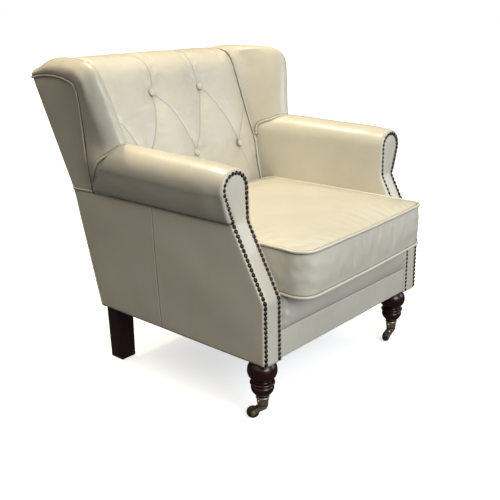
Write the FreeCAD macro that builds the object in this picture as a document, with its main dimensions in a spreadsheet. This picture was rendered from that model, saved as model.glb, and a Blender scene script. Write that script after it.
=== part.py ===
import FreeCAD, Part
import math
import os
import Sketcher
from FreeCAD import Placement, Rotation, Vector

# An upholstered wing armchair in millimetres, +Z up, with the sitter facing -Y.
# Shapes are drawn with Y = 0 on the front plane of the arm facings and are then
# placed centre_y further forward, so that the origin is under the chair's middle.
# Left is -X and right is +X, as seen from the front.

DIMENSIONS = [
    ("centre_y", 394, "facing plane to the middle of the whole depth"),
    ("base_half", 350, "half width over the outside arm panels"),
    ("arm_inner", 284, "inner face of the arms from the centre plane"),
    ("base_level", 170, "underside of the upholstery above the floor"),
    ("knee_level", 330, "top of the upright part of the facings"),
    ("neck_level", 507, "underside seam of the arm rolls"),
    ("arm_setback", 95, "how far the facings slope back from knee to neck"),
    ("facing_thick", 8, "facing board and its leather"),
    ("scroll_x", 332, "centre of the arm scroll from the centre plane"),
    ("scroll_level", 588, "centre of the arm scroll above the floor"),
    ("scroll_radius", 46.5, "radius of the arm scroll"),
    ("arm_rise", 12, "how much fuller the arm roll is than its facing"),
    ("seam_fore", 473, "wing and arm seam at the ridge of the arm"),
    ("seam_fore_level", 650, "height of that seam at the ridge"),
    ("seam_aft", 600, "wing and arm seam at the underside of the roll"),
    ("rear_foot", 616, "rear edge of the side at the base"),
    ("rear_bend", 702, "rear edge of the side where the rake changes"),
    ("bend_level", 504, "height at which the rake changes"),
    ("rear_crown", 836, "rear edge of the wing below its top corner"),
    ("crown_level", 780, "height of that corner"),
    ("rear_tip", 850, "rearmost edge of the top"),
    ("tip_level", 826, "height of the rearmost edge"),
    ("top_level", 858, "top of the wings and back"),
    ("back_half", 276, "half width of the inside back"),
    ("leather", 3, "outside panel, leather on its lining"),
    ("gap", 0.5, "clearance between neighbouring pieces"),
    ("wing_foot", 500, "lower construction level of the wings"),
    ("nose_radius", 29, "radius of the wings' front edge"),
    ("nose_foot_x", 304, "wing nose centre at the lower level, sideways"),
    ("nose_foot_y", 482, "wing nose centre at the lower level, rearward"),
    ("nose_top_x", 378, "wing nose centre at the top, sideways"),
    ("nose_top_y", 556, "wing nose centre at the top, rearward"),
    ("wing_seam_foot", 541, "wing and back seam at the lower level"),
    ("wing_seam_top", 725, "wing and back seam at the top"),
    ("wing_piping_y", 604, "outer wing seam behind the nose"),
    ("wing_outer_foot", 352, "outer face of the wing there, lower level"),
    ("wing_outer_top", 386, "outer face of the wing there, top"),
    ("wing_rear_x", 348, "outer face of the wing at its rear edge"),
    ("board", 18, "thickness of the wing boards"),
    ("rail_thick", 25, "thickness of the hardwood rails"),
    ("rail_height", 78, "height of the seat rails"),
    ("rail_level", 172, "underside of the seat rails"),
    ("post_inner", 292, "inner face of the arm posts"),
    ("post_outer", 340, "outer face of the arm posts"),
    ("post_deep", 56, "arm post from front to back"),
    ("rear_post_inner", 296, "inner face of the back posts"),
    ("rear_post_outer", 342, "outer face of the back posts"),
    ("rear_post_deep", 41, "back post from front to back"),
    ("arm_rail_level", 549, "underside of the arm rails"),
    ("deck_level", 331, "top of the seat deck"),
    ("deck_thick", 44, "seat deck and its padding"),
    ("border_level", 243, "seam between the two front borders"),
    ("cushion_half", 279, "half width of the seat cushion"),
    ("cushion_front", -60, "front of the seat cushion"),
    ("cushion_deep", 559, "seat cushion from front to back"),
    ("cushion_level", 332, "underside of the seat cushion"),
    ("cushion_high", 130, "height of the crowned seat cushion"),
    ("cushion_corner", 42, "front corner radius of the seat cushion"),
    ("cushion_edge", 14, "roundness of the cushion's long edges"),
    ("piping_radius", 4, "radius of the piping cord"),
    ("piping_low", 338, "lower piping of the cushion"),
    ("piping_high", 450, "upper piping of the cushion"),
    ("leg_x", 302, "front leg axis from the centre plane"),
    ("leg_y", 47, "front leg axis behind the facing plane"),
    ("ball_radius", 38, "upper ball of the front leg"),
    ("ring_radius", 32, "ring between the two balls"),
    ("bulb_radius", 29.5, "lower ball of the front leg"),
    ("ankle_radius", 15, "leg where it enters the castor cup"),
    ("cup_top", 60, "top of the castor cup"),
    ("cup_bottom", 32, "underside of the castor cup"),
    ("cup_wall", 1.5, "wall of the castor cup"),
    ("cup_top_radius", 16.5, "outside radius of the cup at its top"),
    ("cup_foot_radius", 13.5, "outside radius of the cup at its foot"),
    ("stem_radius", 4, "castor stem"),
    ("stem_play", 0.05, "running clearance of stem and axle"),
    ("trail", 25, "castor axle behind the swivel axis"),
    ("wheel_radius", 16.5, "castor wheel"),
    ("wheel_width", 13, "width of the castor wheel"),
    ("axle_radius", 2.5, "castor axle"),
    ("cheek", 2.5, "thickness of the castor fork"),
    ("rear_leg_x", 304, "rear leg centre from the centre plane"),
    ("rear_leg_y", 594, "rear leg centre behind the facing plane"),
    ("rear_leg_top", 54, "rear leg square at the top"),
    ("rear_leg_foot", 50, "rear leg square at the floor"),
    ("bolt_radius", 4, "hanger bolt of each leg"),
    ("button_radius", 11.5, "covered button"),
    ("button_thick", 7, "height of a covered button"),
    ("upper_button_x", 96, "upper buttons from the centre plane"),
    ("lower_button_x", 193, "lower outer buttons from the centre plane"),
    ("nail_radius", 5.9, "head of a decorative nail"),
    ("nail_height", 4, "height of a nail head"),
    ("nail_pitch", 12, "distance from nail to nail"),
    ("nail_inset", 8.5, "nail row in from the edge of the facing"),
    ("spring_pitch", 92, "distance between seat springs"),
    ("spring_level", 262, "height of the seat springs"),
    ("wire_radius", 2, "seat spring wire"),
]

doc = FreeCAD.newDocument("armchair")
finished = []


class Size:
    """A number together with the sheet expression that gives it."""

    def __init__(self, value, text):
        self.value = value
        self.text = text

    def __add__(self, other):
        other = size(other)
        return Size(self.value + other.value, f"({self.text} + {other.text})")

    def __sub__(self, other):
        other = size(other)
        return Size(self.value - other.value, f"({self.text} - {other.text})")

    def __mul__(self, other):
        other = size(other)
        return Size(self.value * other.value, f"({self.text} * {other.text})")

    def __truediv__(self, other):
        other = size(other)
        return Size(self.value / other.value, f"({self.text} / {other.text})")

    def __neg__(self):
        return self * -1


def size(number):
    return number if isinstance(number, Size) else Size(number, f"{number}")


def bulge(half_chord, rise):
    """The radius of an arc that rises this far over half its chord."""
    half_chord, rise = size(half_chord), size(rise)
    return (half_chord * half_chord + rise * rise) / (rise * 2)


class Sizes:
    """The driving dimensions as attributes, each a Size bound to its cell."""


def make_sheet():
    sheet = doc.addObject("Spreadsheet::Sheet", "sizes")
    named = Sizes()
    for row, (alias, value, note) in enumerate(DIMENSIONS, start=1):
        sheet.set(f"A{row}", note)
        sheet.set(f"B{row}", f"{value}")
        sheet.setAlias(f"B{row}", alias)
        setattr(named, alias, Size(value, f"sizes.{alias}"))
    doc.recompute()
    return named


s = make_sheet()

# ---------------------------------------------------------------- helpers

PLANES = {
    "front": (Rotation(Vector(1, 0, 0), 90), Vector(0, 1, 0), "y"),
    "side": (Rotation(Vector(1, 1, 1), 120), Vector(1, 0, 0), "x"),
    "plan": (Rotation(), Vector(0, 0, 1), "z"),
}


def bind(thing, **sizes):
    """Binds properties to the sheet; Base_x stands for Placement.Base.x."""
    for name, wanted in sizes.items():
        path = name.replace("Base_", "Placement.Base.")
        thing.setExpression(path, size(wanted).text)
    return thing


def arc_between(start, end, radius):
    """A short arc from start to end, turning left where radius is positive."""
    chord = end - start
    middle = (start + end) * 0.5
    rise = math.sqrt(max(radius**2 - chord.Length**2 / 4, 0))
    left = Vector(-chord.y, chord.x, 0).normalize()
    centre = middle + left * math.copysign(rise, radius)
    circle = Part.Circle(centre, Vector(0, 0, 1), abs(radius))
    first, last = (start, end) if radius > 0 else (end, start)
    angles = [math.atan2(p.y - centre.y, p.x - centre.x) for p in (first, last)]
    if angles[1] < angles[0]:
        angles[1] += 2 * math.pi
    return Part.ArcOfCircle(circle, angles[0], angles[1])


def pin(sketch, edge, point, axis, wanted):
    """Holds a point of the sketch at a size from the sketch's origin."""
    if wanted.value == 0:
        sketch.addConstraint(Sketcher.Constraint("PointOnObject", edge, point, axis))
        return
    kind = "DistanceX" if axis == -2 else "DistanceY"
    held = Sketcher.Constraint(kind, -1, 1, edge, point, wanted.value)
    index = sketch.addConstraint(held)
    sketch.setExpression(f"Constraints[{index}]", wanted.text)


def draw(sketch, corners):
    """A closed outline. A third entry makes the edge after a corner an arc."""
    corners = [[size(entry) for entry in corner] for corner in corners]
    points = [Vector(c[0].value, c[1].value, 0) for c in corners]
    ends = []
    for i, corner in enumerate(corners):
        start, end = points[i], points[(i + 1) % len(points)]
        if len(corner) < 3:
            edge = sketch.addGeometry(Part.LineSegment(start, end), False)
            ends.append((edge, 1, 2))
            continue
        radius = corner[2]
        edge = sketch.addGeometry(arc_between(start, end, radius.value), False)
        ends.append((edge, 1, 2) if radius.value > 0 else (edge, 2, 1))
    for i, (edge, first, last) in enumerate(ends):
        following = ends[(i + 1) % len(ends)]
        joined = (edge, last, following[0], following[1])
        sketch.addConstraint(Sketcher.Constraint("Coincident", *joined))
        pin(sketch, edge, first, -2, corners[i][0])
        pin(sketch, edge, first, -1, corners[i][1])
    for (edge, _, _), corner in zip(ends, corners):
        if len(corner) < 3:
            continue
        radius = corner[2] if corner[2].value > 0 else -corner[2]
        held = Sketcher.Constraint("Radius", edge, radius.value)
        index = sketch.addConstraint(held)
        sketch.setExpression(f"Constraints[{index}]", radius.text)
    return sketch


def outline(name, plane, corners, start=0):
    rotation, _, axis = PLANES[plane]
    sketch = doc.addObject("Sketcher::SketchObject", name)
    sketch.Placement = Placement(Vector(), rotation)
    draw(sketch, corners)
    bind(sketch, **{f"Base_{axis}": start})
    return sketch


def prism(name, plane, corners, start, length):
    """An outline drawn on a plane and extruded along +X, +Y or +Z."""
    block = doc.addObject("Part::Extrusion", name)
    block.Base = outline(f"{name}_outline", plane, corners, start)
    block.DirMode = "Custom"
    block.Dir = PLANES[plane][1]
    block.Solid = True
    return bind(block, LengthFwd=length)


def loft(name, levels):
    """A ruled solid between two plan outlines: [(level, corners), ...]."""
    body = doc.addObject("Part::Loft", name)
    body.Sections = [
        outline(f"{name}_at_{i}", "plan", corners, level)
        for i, (level, corners) in enumerate(levels)
    ]
    body.Solid = True
    body.Ruled = True
    return body


def box(name, low, high):
    """A box between two corners, each given as three sizes."""
    low, high = [size(v) for v in low], [size(v) for v in high]
    block = doc.addObject("Part::Box", name)
    bind(block, Base_x=low[0], Base_y=low[1], Base_z=low[2])
    spans = [b - a for a, b in zip(low, high)]
    return bind(block, Length=spans[0], Width=spans[1], Height=spans[2])


def rod(name, radius, height, x=0, y=0, z=0, turn=None):
    cylinder = doc.addObject("Part::Cylinder", name)
    if turn:
        cylinder.Placement = Placement(Vector(), turn)
    bind(cylinder, Radius=radius, Height=height)
    return bind(cylinder, Base_x=x, Base_y=y, Base_z=z)


def common(name, base, tool):
    result = doc.addObject("Part::Common", name)
    result.Base, result.Tool = base, tool
    return result


def cut(name, base, tool):
    result = doc.addObject("Part::Cut", name)
    result.Base, result.Tool = base, tool
    return result


def fuse(name, pieces):
    result = doc.addObject("Part::MultiFuse", name)
    result.Shapes = pieces
    return result


def group(name, pieces):
    result = doc.addObject("Part::Compound", name)
    result.Links = pieces
    return result


def mirrored(name, source):
    copy = doc.addObject("Part::Mirroring", name)
    copy.Source = source
    copy.Normal = Vector(1, 0, 0)
    return copy


def finish(label, thing):
    """Names a sub-part and moves it from the facing plane to the chair's origin."""
    thing.Label = label
    if thing.TypeId in ("Part::Box", "Part::Cylinder"):
        raise ValueError(f"{label} has a place of its own: wrap it in a group")
    bind(thing, Base_y=-s.centre_y)
    finished.append(thing)
    return thing


def pair(name, source):
    """The right sub-part and its mirror image, the left one."""
    finish(f"right_{name}", source)
    copy = mirrored(f"left_{name}_mirror", source)
    copy.Label = f"left_{name}"
    finished.append(copy)


def new_body(name):
    return doc.addObject("PartDesign::Body", name)


def body_sketch(body, name, role, corners):
    """A sketch on one of the body's own origin planes."""
    sketch = body.newObject("Sketcher::SketchObject", name)
    plane = next(f for f in body.Origin.OriginFeatures if f.Role == role)
    sketch.AttachmentSupport = (plane, [""])
    sketch.MapMode = "FlatFace"
    draw(sketch, corners)
    return sketch


def turned(name, corners, axis="V_Axis"):
    """A body turned on a lathe from a half outline, about the sketch's axis."""
    body = new_body(name)
    sketch = body_sketch(body, f"{name}_outline", "XZ_Plane", corners)
    revolution = body.newObject("PartDesign::Revolution", f"{name}_turn")
    revolution.Profile = sketch
    revolution.ReferenceAxis = (sketch, [axis])
    revolution.Angle = 360
    body.Tip = revolution
    return body


def padded(name, corners, length):
    """A body padded upwards from an outline on its XY plane."""
    body = new_body(name)
    sketch = body_sketch(body, f"{name}_outline", "XY_Plane", corners)
    pad = body.newObject("PartDesign::Pad", f"{name}_pad")
    pad.Profile = sketch
    bind(pad, Length=length)
    body.Tip = pad
    return body


# ------------------------------------------------- lines shared by many pieces

REAR_LINE = [
    (s.rear_foot, s.base_level),
    (s.rear_bend, s.bend_level),
    (s.rear_crown, s.crown_level),
    (s.rear_tip, s.tip_level),
]


def rear_line(inset):
    """The rear edge of the side, moved forward by inset."""
    return [(y - inset, z) for y, z in REAR_LINE]


def rake(start, inset, level):
    """A point at a level on one of the two straight rakes of the rear line."""
    (y0, z0), (y1, z1) = REAR_LINE[start : start + 2]
    slope = (y1.value - y0.value) / (z1.value - z0.value)
    return (y0 - inset + (size(level) - z0) * slope, size(level))


SEAM_SLOPE = (s.seam_fore_level.value - s.neck_level.value) / (
    s.seam_aft.value - s.seam_fore.value
)


def seam_point(y, drop=0):
    """A point on the sloping seam between arm and wing, in side view."""
    y = size(y)
    return (y, s.seam_fore_level - drop - (y - s.seam_fore) * SEAM_SLOPE)


def front_line(depth):
    """The front edge of the arm in side view, depth behind the facing."""
    return [
        (size(depth), s.base_level),
        (size(depth), s.knee_level),
        (s.arm_setback + depth, s.neck_level),
    ]


# ------------------------------------------------------------ hardwood frame


def post_side(room):
    """The arm post in side view, larger all round by room."""
    near = s.facing_thick + 1 - room
    far = s.facing_thick + 1 + s.post_deep + room
    return [
        (near, s.rail_level - room),
        (near, s.knee_level),
        (s.arm_setback + near, s.neck_level),
        (s.arm_setback + near, s.arm_rail_level - s.gap + room),
        (s.arm_setback + far, s.arm_rail_level - s.gap + room),
        (s.arm_setback + far, s.neck_level - 10),
        (far, s.knee_level - 10),
        (far, s.rail_level - room),
    ]


def make_frame():
    top = s.rail_level + s.rail_height
    front_rail = box(
        "front_rail_block",
        (-s.post_inner + s.gap, 12, s.rail_level),
        (s.post_inner - s.gap, s.rail_thick + 12, top),
    )
    finish("front_rail", group("front_rail_group", [front_rail]))

    back_face = s.rear_foot - 9
    back_rail = box(
        "back_rail_block",
        (-s.rear_post_inner + s.gap, back_face - s.rail_thick, s.rail_level),
        (s.rear_post_inner - s.gap, back_face, top),
    )
    finish("back_rail", group("back_rail_group", [back_rail]))

    side_rail = box(
        "side_rail_block",
        (s.base_half - 28, s.post_deep + 10, s.rail_level),
        (s.base_half - 3.5, s.rear_foot - 4 - s.rear_post_deep, top),
    )
    pair("side_rail", group("side_rail_group", [side_rail]))

    width = s.post_outer - s.post_inner
    post = prism("arm_post_blank", "side", post_side(0), s.post_inner, width)
    hole = rod("arm_post_hole", s.bolt_radius, 30, s.leg_x, s.leg_y, s.rail_level)
    pair("arm_post", cut("arm_post", post, hole))

    arm_rail = box(
        "arm_rail_block",
        (s.scroll_x - 22, s.arm_setback + s.facing_thick + 1, s.arm_rail_level),
        (s.base_half - 1.5, s.rear_bend - 30, s.arm_rail_level + s.rail_thick),
    )
    pair("arm_rail", group("arm_rail_group", [arm_rail]))

    inner_face = s.rear_post_deep + 4
    rear_side = [
        (s.rear_foot - 4, s.rail_level),
        rake(1, 4, s.bend_level),
        rake(1, 4, s.crown_level),
        rake(1, inner_face, s.crown_level),
        rake(1, inner_face, s.bend_level),
        (s.rear_foot - inner_face, s.rail_level),
    ]
    width = s.rear_post_outer - s.rear_post_inner
    post = prism("back_post_blank", "side", rear_side, s.rear_post_inner, width)
    hole = rod("back_post_hole", s.bolt_radius, 30, 312, 590, s.rail_level)
    pair("back_post", cut("back_post", post, hole))

    span = s.rear_post_inner - s.gap
    top_side = [
        rake(1, inner_face, s.crown_level - 58),
        rake(1, 4, s.crown_level - 58),
        rake(1, 4, s.crown_level - 2),
        rake(1, inner_face, s.crown_level - 2),
    ]
    finish("top_rail", prism("top_rail", "side", top_side, -span, span * 2))
    low_side = [
        rake(0, 38, 420),
        rake(0, 16, 420),
        rake(0, 16, 478),
        rake(0, 38, 478),
    ]
    low_rail = prism("lower_back_rail", "side", low_side, -span, span * 2)
    finish("lower_back_rail", low_rail)


def make_corner_blocks():
    front = [
        (s.post_inner - 1, s.rail_thick + 12.5),
        (s.post_inner - 1, s.post_deep + 9.5),
        (s.base_half - 28.5, s.post_deep + 9.5),
        (s.base_half - 28.5, 125),
        (240, s.rail_thick + 12.5),
    ]
    back_face = s.rear_foot - 9.5 - s.rail_thick
    post_face = s.rear_foot - 4.5 - s.rear_post_deep
    rear = [
        (s.rear_post_inner - 1, back_face),
        (240, back_face),
        (s.base_half - 28.5, 500),
        (s.base_half - 28.5, post_face),
        (s.rear_post_inner - 1, post_face),
    ]
    level = s.rail_level + 8
    blocks = [
        prism("front_block", "plan", front, level, 50),
        prism("rear_block", "plan", rear, level, 50),
    ]
    blocks += [mirrored(f"{block.Name}_left", block) for block in blocks]
    finish("corner_blocks", group("corner_blocks", blocks))


def wing_side(inset):
    """The wing in side view, its rear edge moved forward by inset."""
    return [
        seam_point(440, -s.gap),
        seam_point(s.seam_aft - 1, -s.gap),
        (s.rear_bend - inset, s.neck_level + 1),
        (s.rear_crown - inset, s.crown_level),
        (s.rear_tip - inset, s.tip_level, 62),
        (775, s.top_level - 6),
        (640, s.top_level),
        (568, s.top_level - 3, 55),
        (512, 800),
        (440, 800),
    ]


def wing_level(foot):
    """Positions in plan that the wing's layers share, at its foot or its top."""
    if foot:
        return s.wing_foot, s.wing_outer_foot, s.rear_bend
    return s.top_level + 2, s.wing_outer_top, s.rear_tip + 20


def wing_layer(name, outer, inner, front, side_corners):
    """A board or panel that follows the wing's outer face, between two insets."""
    levels = []
    for foot in (True, False):
        level, face, rear = wing_level(foot)
        corners = [
            (face - outer, front),
            (s.wing_rear_x - outer, rear),
            (s.wing_rear_x - inner, rear),
            (face - inner, front),
        ]
        levels.append((level, corners))
    solid = loft(f"{name}_layer", levels)
    side = prism(f"{name}_side", "side", side_corners, 270, 160)
    return common(name, solid, side)


def make_wings():
    nose = s.nose_radius
    levels = []
    for foot in (True, False):
        level, face, rear = wing_level(foot)
        x = s.nose_foot_x if foot else s.nose_top_x
        y = s.nose_foot_y if foot else s.nose_top_y
        seam = s.wing_seam_foot if foot else s.wing_seam_top
        corners = [
            (s.back_half + 1, seam),
            (x - nose, y, nose),
            (x, y - nose, nose),
            (x + nose, y),
            (face, s.wing_piping_y),
            (s.wing_rear_x, rear),
            (s.back_half + 1, rear),
        ]
        levels.append((level, corners))
    envelope = loft("wing_envelope", levels)
    side = prism("wing_side", "side", wing_side(s.leather + s.gap), 270, 160)
    crown = [
        (270, s.wing_foot),
        (440, s.wing_foot),
        (400, 790, 66),
        (352, s.top_level),
        (270, s.top_level),
    ]
    rounded = common("wing_sided", envelope, side)
    front = prism("wing_crown", "front", crown, 420, 460)
    rounded = common("wing_rounded", rounded, front)

    post_front = s.rear_post_deep + 5
    behind_post = [
        rake(1, post_front, 500),
        rake(1, post_front, 803),
        (s.rear_tip + 30, 803),
        (s.rear_tip + 30, 500),
    ]
    hollow_side = [
        (s.wing_piping_y + 0.3, 500),
        (s.wing_piping_y + 0.3, 803),
        (s.rear_tip + 30, 803),
        (s.rear_tip + 30, 500),
    ]
    depth = s.leather + s.board + 1.5
    rail_room = box(
        "wing_rail_room",
        (s.scroll_x - 23, 520, s.arm_rail_level - 1),
        (s.base_half + 1, 700, s.arm_rail_level + s.rail_thick + 1),
    )
    hollow = fuse(
        "wing_hollow",
        [
            prism("wing_post_room", "side", behind_post, 270, 160),
            wing_layer("wing_board_room", -30, depth, s.wing_piping_y, hollow_side),
            rail_room,
        ],
    )
    pair("wing_pad", cut("wing_pad", rounded, hollow))

    board_side = [
        (s.wing_piping_y + 1, s.arm_rail_level + s.rail_thick + 2),
        rake(1, post_front, s.arm_rail_level + s.rail_thick + 2),
        rake(1, post_front, 800),
        (660, 800),
        (s.wing_piping_y + 1, 740),
    ]
    outer = s.leather + 0.5
    depth = s.leather + s.board
    board = wing_layer("wing_board", outer, depth, s.wing_piping_y, board_side)
    pair("wing_frame", board)

    panel_side = [
        (s.wing_piping_y + 1, s.neck_level + 1),
        (s.rear_bend - 4, s.neck_level + 1),
        (s.rear_crown - 4, s.crown_level),
        (s.rear_crown + 2, 802),
        (690, 802, 75),
        (s.wing_piping_y + 1, 727),
    ]
    panel = wing_layer("wing_panel", 0, s.leather, s.wing_piping_y, panel_side)
    pair("outside_wing", panel)


# --------------------------------------------------------------------- arms


def scroll_outline(inner, outer, swell, floor):
    """The arm in front view: a straight inner face and a scroll on top."""
    radius = s.scroll_radius + swell
    waist = 0.62
    return [
        (inner, floor),
        (outer, floor),
        (outer + 1, s.neck_level),
        (s.scroll_x + radius * 0.86, s.scroll_level - radius * 0.51, radius),
        (s.scroll_x + radius * waist, s.scroll_level + radius * 0.7846, radius),
        (s.scroll_x - radius * waist, s.scroll_level + radius * 0.7846, radius),
        (s.scroll_x - radius, s.scroll_level),
        (inner, s.scroll_level - 12),
    ]


def make_facings():
    plate = front_line(0) + [
        (s.arm_setback, 660),
        (s.arm_setback + s.facing_thick, 660),
    ]
    plate += list(reversed(front_line(s.facing_thick)))
    side = prism("facing_side", "side", plate, 270, 140)
    front = scroll_outline(s.arm_inner, s.base_half, 0, s.base_level)
    shape = prism("facing_front", "front", front, -10, 200)
    pair("facing", common("facing", shape, side))


def make_arm_pads():
    behind = s.facing_thick + s.gap
    side = [
        (behind, s.knee_level),
        (s.arm_setback + behind, s.neck_level),
        (s.arm_setback + behind, 670),
        seam_point(456, s.gap),
        seam_point(s.seam_aft - 1, s.gap),
        (s.seam_aft - 1, s.knee_level),
    ]
    side_view = prism("arm_pad_side", "side", side, 270, 140)
    swell = s.arm_rise * 0.5
    front = scroll_outline(s.arm_inner, s.base_half, swell, s.deck_level + 1)
    front_view = prism("arm_pad_front", "front", front, 0, 620)
    envelope = common("arm_pad_envelope", front_view, side_view)
    post_room = s.post_inner - s.gap
    room = fuse(
        "arm_pad_room",
        [
            prism("arm_post_room", "side", post_side(0.6), post_room, 100),
            box(
                "arm_rail_room",
                (s.scroll_x - 22.7, -10, s.deck_level - 10),
                (s.base_half + 0.4, 700, s.arm_rail_level + s.rail_thick + 0.5),
            ),
            box(
                "arm_side_room",
                (s.base_half - 5, -10, s.deck_level - 10),
                (s.base_half + 40, 700, s.neck_level + 0.5),
            ),
        ],
    )
    pair("arm_pad", cut("arm_pad", envelope, room))


def make_outside_arms():
    side = front_line(s.facing_thick + s.gap) + [
        (s.rear_bend, s.neck_level),
        (s.rear_bend, s.bend_level),
        (s.rear_foot, s.base_level),
    ]
    start = s.base_half - s.leather + 0.3
    panel = prism("outside_arm", "side", side, start, s.leather - 0.3)
    pair("outside_arm", panel)


def along(points, pitch):
    """Points at an even pitch along a run of straight pieces."""
    lengths = [(b - a).Length for a, b in zip(points, points[1:])]
    count = round(sum(lengths) / pitch)
    step = sum(lengths) / count
    placed = []
    for i in range(count + 1):
        left = min(i * step, sum(lengths) - 1e-6)
        for a, b, length in zip(points, points[1:], lengths):
            if left <= length:
                placed.append(a + (b - a) * (left / length))
                break
            left -= length
    return placed


def nail_line():
    """The nail row on the flattened facing: up the outside, round the scroll."""
    radius = s.scroll_radius.value - s.nail_inset.value
    outer = s.base_half.value - s.nail_inset.value
    inner = s.arm_inner.value + s.nail_inset.value
    foot = s.base_level.value + 6
    line = [Vector(outer, foot), Vector(outer + 1, s.neck_level.value)]
    for step in range(45):
        angle = math.radians(-32 + step * (212 / 44))
        line.append(
            Vector(
                s.scroll_x.value + radius * math.cos(angle),
                s.scroll_level.value + radius * math.sin(angle),
            )
        )
    line.append(Vector(inner, foot))
    return line


def make_nails():
    """Domed nail heads. Levels are stretched where the facing slopes back."""
    slope = math.hypot(
        s.arm_setback.value, s.neck_level.value - s.knee_level.value
    ) / (s.neck_level.value - s.knee_level.value)
    knee, neck = s.knee_level.value, s.neck_level.value
    radius, height = s.nail_radius.value, s.nail_height.value
    ball = (radius**2 + height**2) / (2 * height)
    sunk = ball - height
    rim = math.degrees(math.asin(sunk / ball))
    leaning = Vector(0, knee - neck, s.arm_setback.value).normalize()

    def stretched(point):
        extra = min(max(point.y - knee, 0), neck - knee) * (slope - 1)
        return Vector(point.x, point.y + extra)

    heads = []
    for point in along([stretched(p) for p in nail_line()], s.nail_pitch.value):
        rise = min(max(point.y - knee, 0), (neck - knee) * slope) / slope
        level = point.y - rise * (slope - 1)
        back = s.arm_setback.value * rise / (neck - knee)
        outward = leaning if 0 < back < s.arm_setback.value else Vector(0, -1, 0)
        at_bend = abs(level - neck) < radius
        seat = Vector(point.x, back, level) + outward * (0.9 if at_bend else 0.1)
        base = seat - outward * sunk
        heads.append(Part.makeSphere(ball, base, outward, rim, 90, 360))
    nails = doc.addObject("Part::Feature", "facing_nails")
    nails.Shape = Part.makeCompound(heads)
    pair("facing_nails", nails)


# --------------------------------------------------------------------- back

BUTTONS = [
    (-s.lower_button_x, 567, 569, -27),
    (size(0), 567, 569, -27),
    (s.lower_button_x, 567, 569, -27),
    (-s.upper_button_x, 638, 750, -27),
    (s.upper_button_x, 638, 750, -27),
]


def make_back():
    post_front = s.rear_post_deep + 9
    straps_front = [
        rake(0, 44, 424),
        rake(0, 44, 478),
        rake(1, post_front, s.crown_level - 58),
        rake(1, post_front, s.crown_level - 4),
    ]
    side = [
        (505, 338),
        (512, 400),
        (532, 487),
        (546, 574),
        (598, 694),
        (650, 800),
        (682, 836, -62),
        (722, s.top_level - 8),
        (800, s.top_level - 11, -70),
        (s.rear_tip - 4, s.tip_level + 2),
        (s.rear_tip - 14, s.tip_level - 22),
        rake(1, post_front, s.tip_level - 22),
    ]
    side += list(reversed(straps_front))
    side.append((622, 338))
    width = s.back_half * 2
    pad = prism("inside_back_pad", "side", side, -s.back_half, width)
    wells = []
    buttons = []
    for i, (x, y, z, tilt) in enumerate(BUTTONS):
        lean = Rotation(Vector(1, 0, 0), 90 + tilt)
        well = rod(f"button_well_{i}", s.button_radius + 1.5, 60, x, y, z, lean)
        wells.append(well)
        button = turned(
            f"button_{i}",
            [
                (0, 1),
                (s.button_radius, 1),
                (s.button_radius, 3, bulge(s.button_radius, s.button_thick - 2)),
                (0, s.button_thick + 1),
            ],
        )
        button.Placement = Placement(Vector(), lean)
        bind(button, Base_x=x, Base_y=y, Base_z=z)
        buttons.append(button)
    room = fuse("button_wells", wells)
    finish("inside_back", cut("inside_back", pad, room))
    finish("back_buttons", group("back_buttons", buttons))

    straps = []
    band = [(y, z) for y, z in straps_front]
    rear = [(y + 2.5, z) for y, z in reversed(straps_front)]
    shift = [(y + 1, z) for y, z in band] + [(y + 1, z) for y, z in rear]
    for i in range(5):
        x = size(-245 + i * 110)
        straps.append(prism(f"back_strap_{i}", "side", shift, x, 50))
    finish("back_webbing", group("back_webbing", straps))

    panel = rear_line(0) + list(reversed(rear_line(s.leather)))
    half = s.base_half - s.leather
    outside = prism("outside_back", "side", panel, -half, half * 2)
    finish("outside_back", outside)


# --------------------------------------------------------------------- seat


def zigzag(x, start, end, level):
    """The centre line of a sinuous spring: straight bars and half turns."""
    turn = 11
    reach = 18
    count = int((end - start) / (2 * turn))
    edges = []
    side = 1
    y = start
    here = Vector(x - reach, y, level)
    for _ in range(count):
        there = Vector(x + side * reach, y, level)
        edges.append(Part.LineSegment(here, there).toShape())
        bulge = Vector(x + side * (reach + turn), y + turn, level)
        here = Vector(there.x, y + 2 * turn, level)
        edges.append(Part.Arc(there, bulge, here).toShape())
        y += 2 * turn
        side = -side
    return Part.Wire(edges)


def make_seat_deck():
    springs = doc.addObject("Part::Feature", "seat_springs")
    coils = []
    for i in range(-2, 3):
        path = zigzag(i * s.spring_pitch.value, 42, 580, s.spring_level.value)
        start = path.Edges[0].Vertexes[0].Point
        ring = Part.Circle(start, Vector(1, 0, 0), s.wire_radius.value)
        section = Part.Wire([ring.toShape()])
        coils.append(path.makePipeShell([section], True, False))
    springs.Shape = Part.makeCompound(coils)
    finish("seat_springs", springs)

    clips = []
    level = s.rail_level + s.rail_height
    for i in range(-2, 3):
        x = s.spring_pitch * i
        for end, y in (("front", 20), ("back", 588)):
            low = (x - 8, y, level + 0.2)
            high = (x + 8, size(y) + 14, s.spring_level - 2.4)
            clips.append(box(f"clip_{end}_{i + 2}", low, high))
    finish("spring_clips", group("spring_clips", clips))

    deck = box(
        "seat_deck_block",
        (-s.arm_inner + s.gap, 62, s.deck_level - s.deck_thick),
        (s.arm_inner - s.gap, 560, s.deck_level),
    )
    finish("seat_deck", group("seat_deck", [deck]))

    sheet = box(
        "dust_cover_sheet",
        (-s.base_half + 5, 10, s.base_level),
        (s.base_half - 5, s.rear_foot - 6, s.base_level + 1.2),
    )
    bolts = fuse("dust_cover_holes", bolt_rods("cover", 1))
    finish("dust_cover", cut("dust_cover", sheet, bolts))


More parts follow.
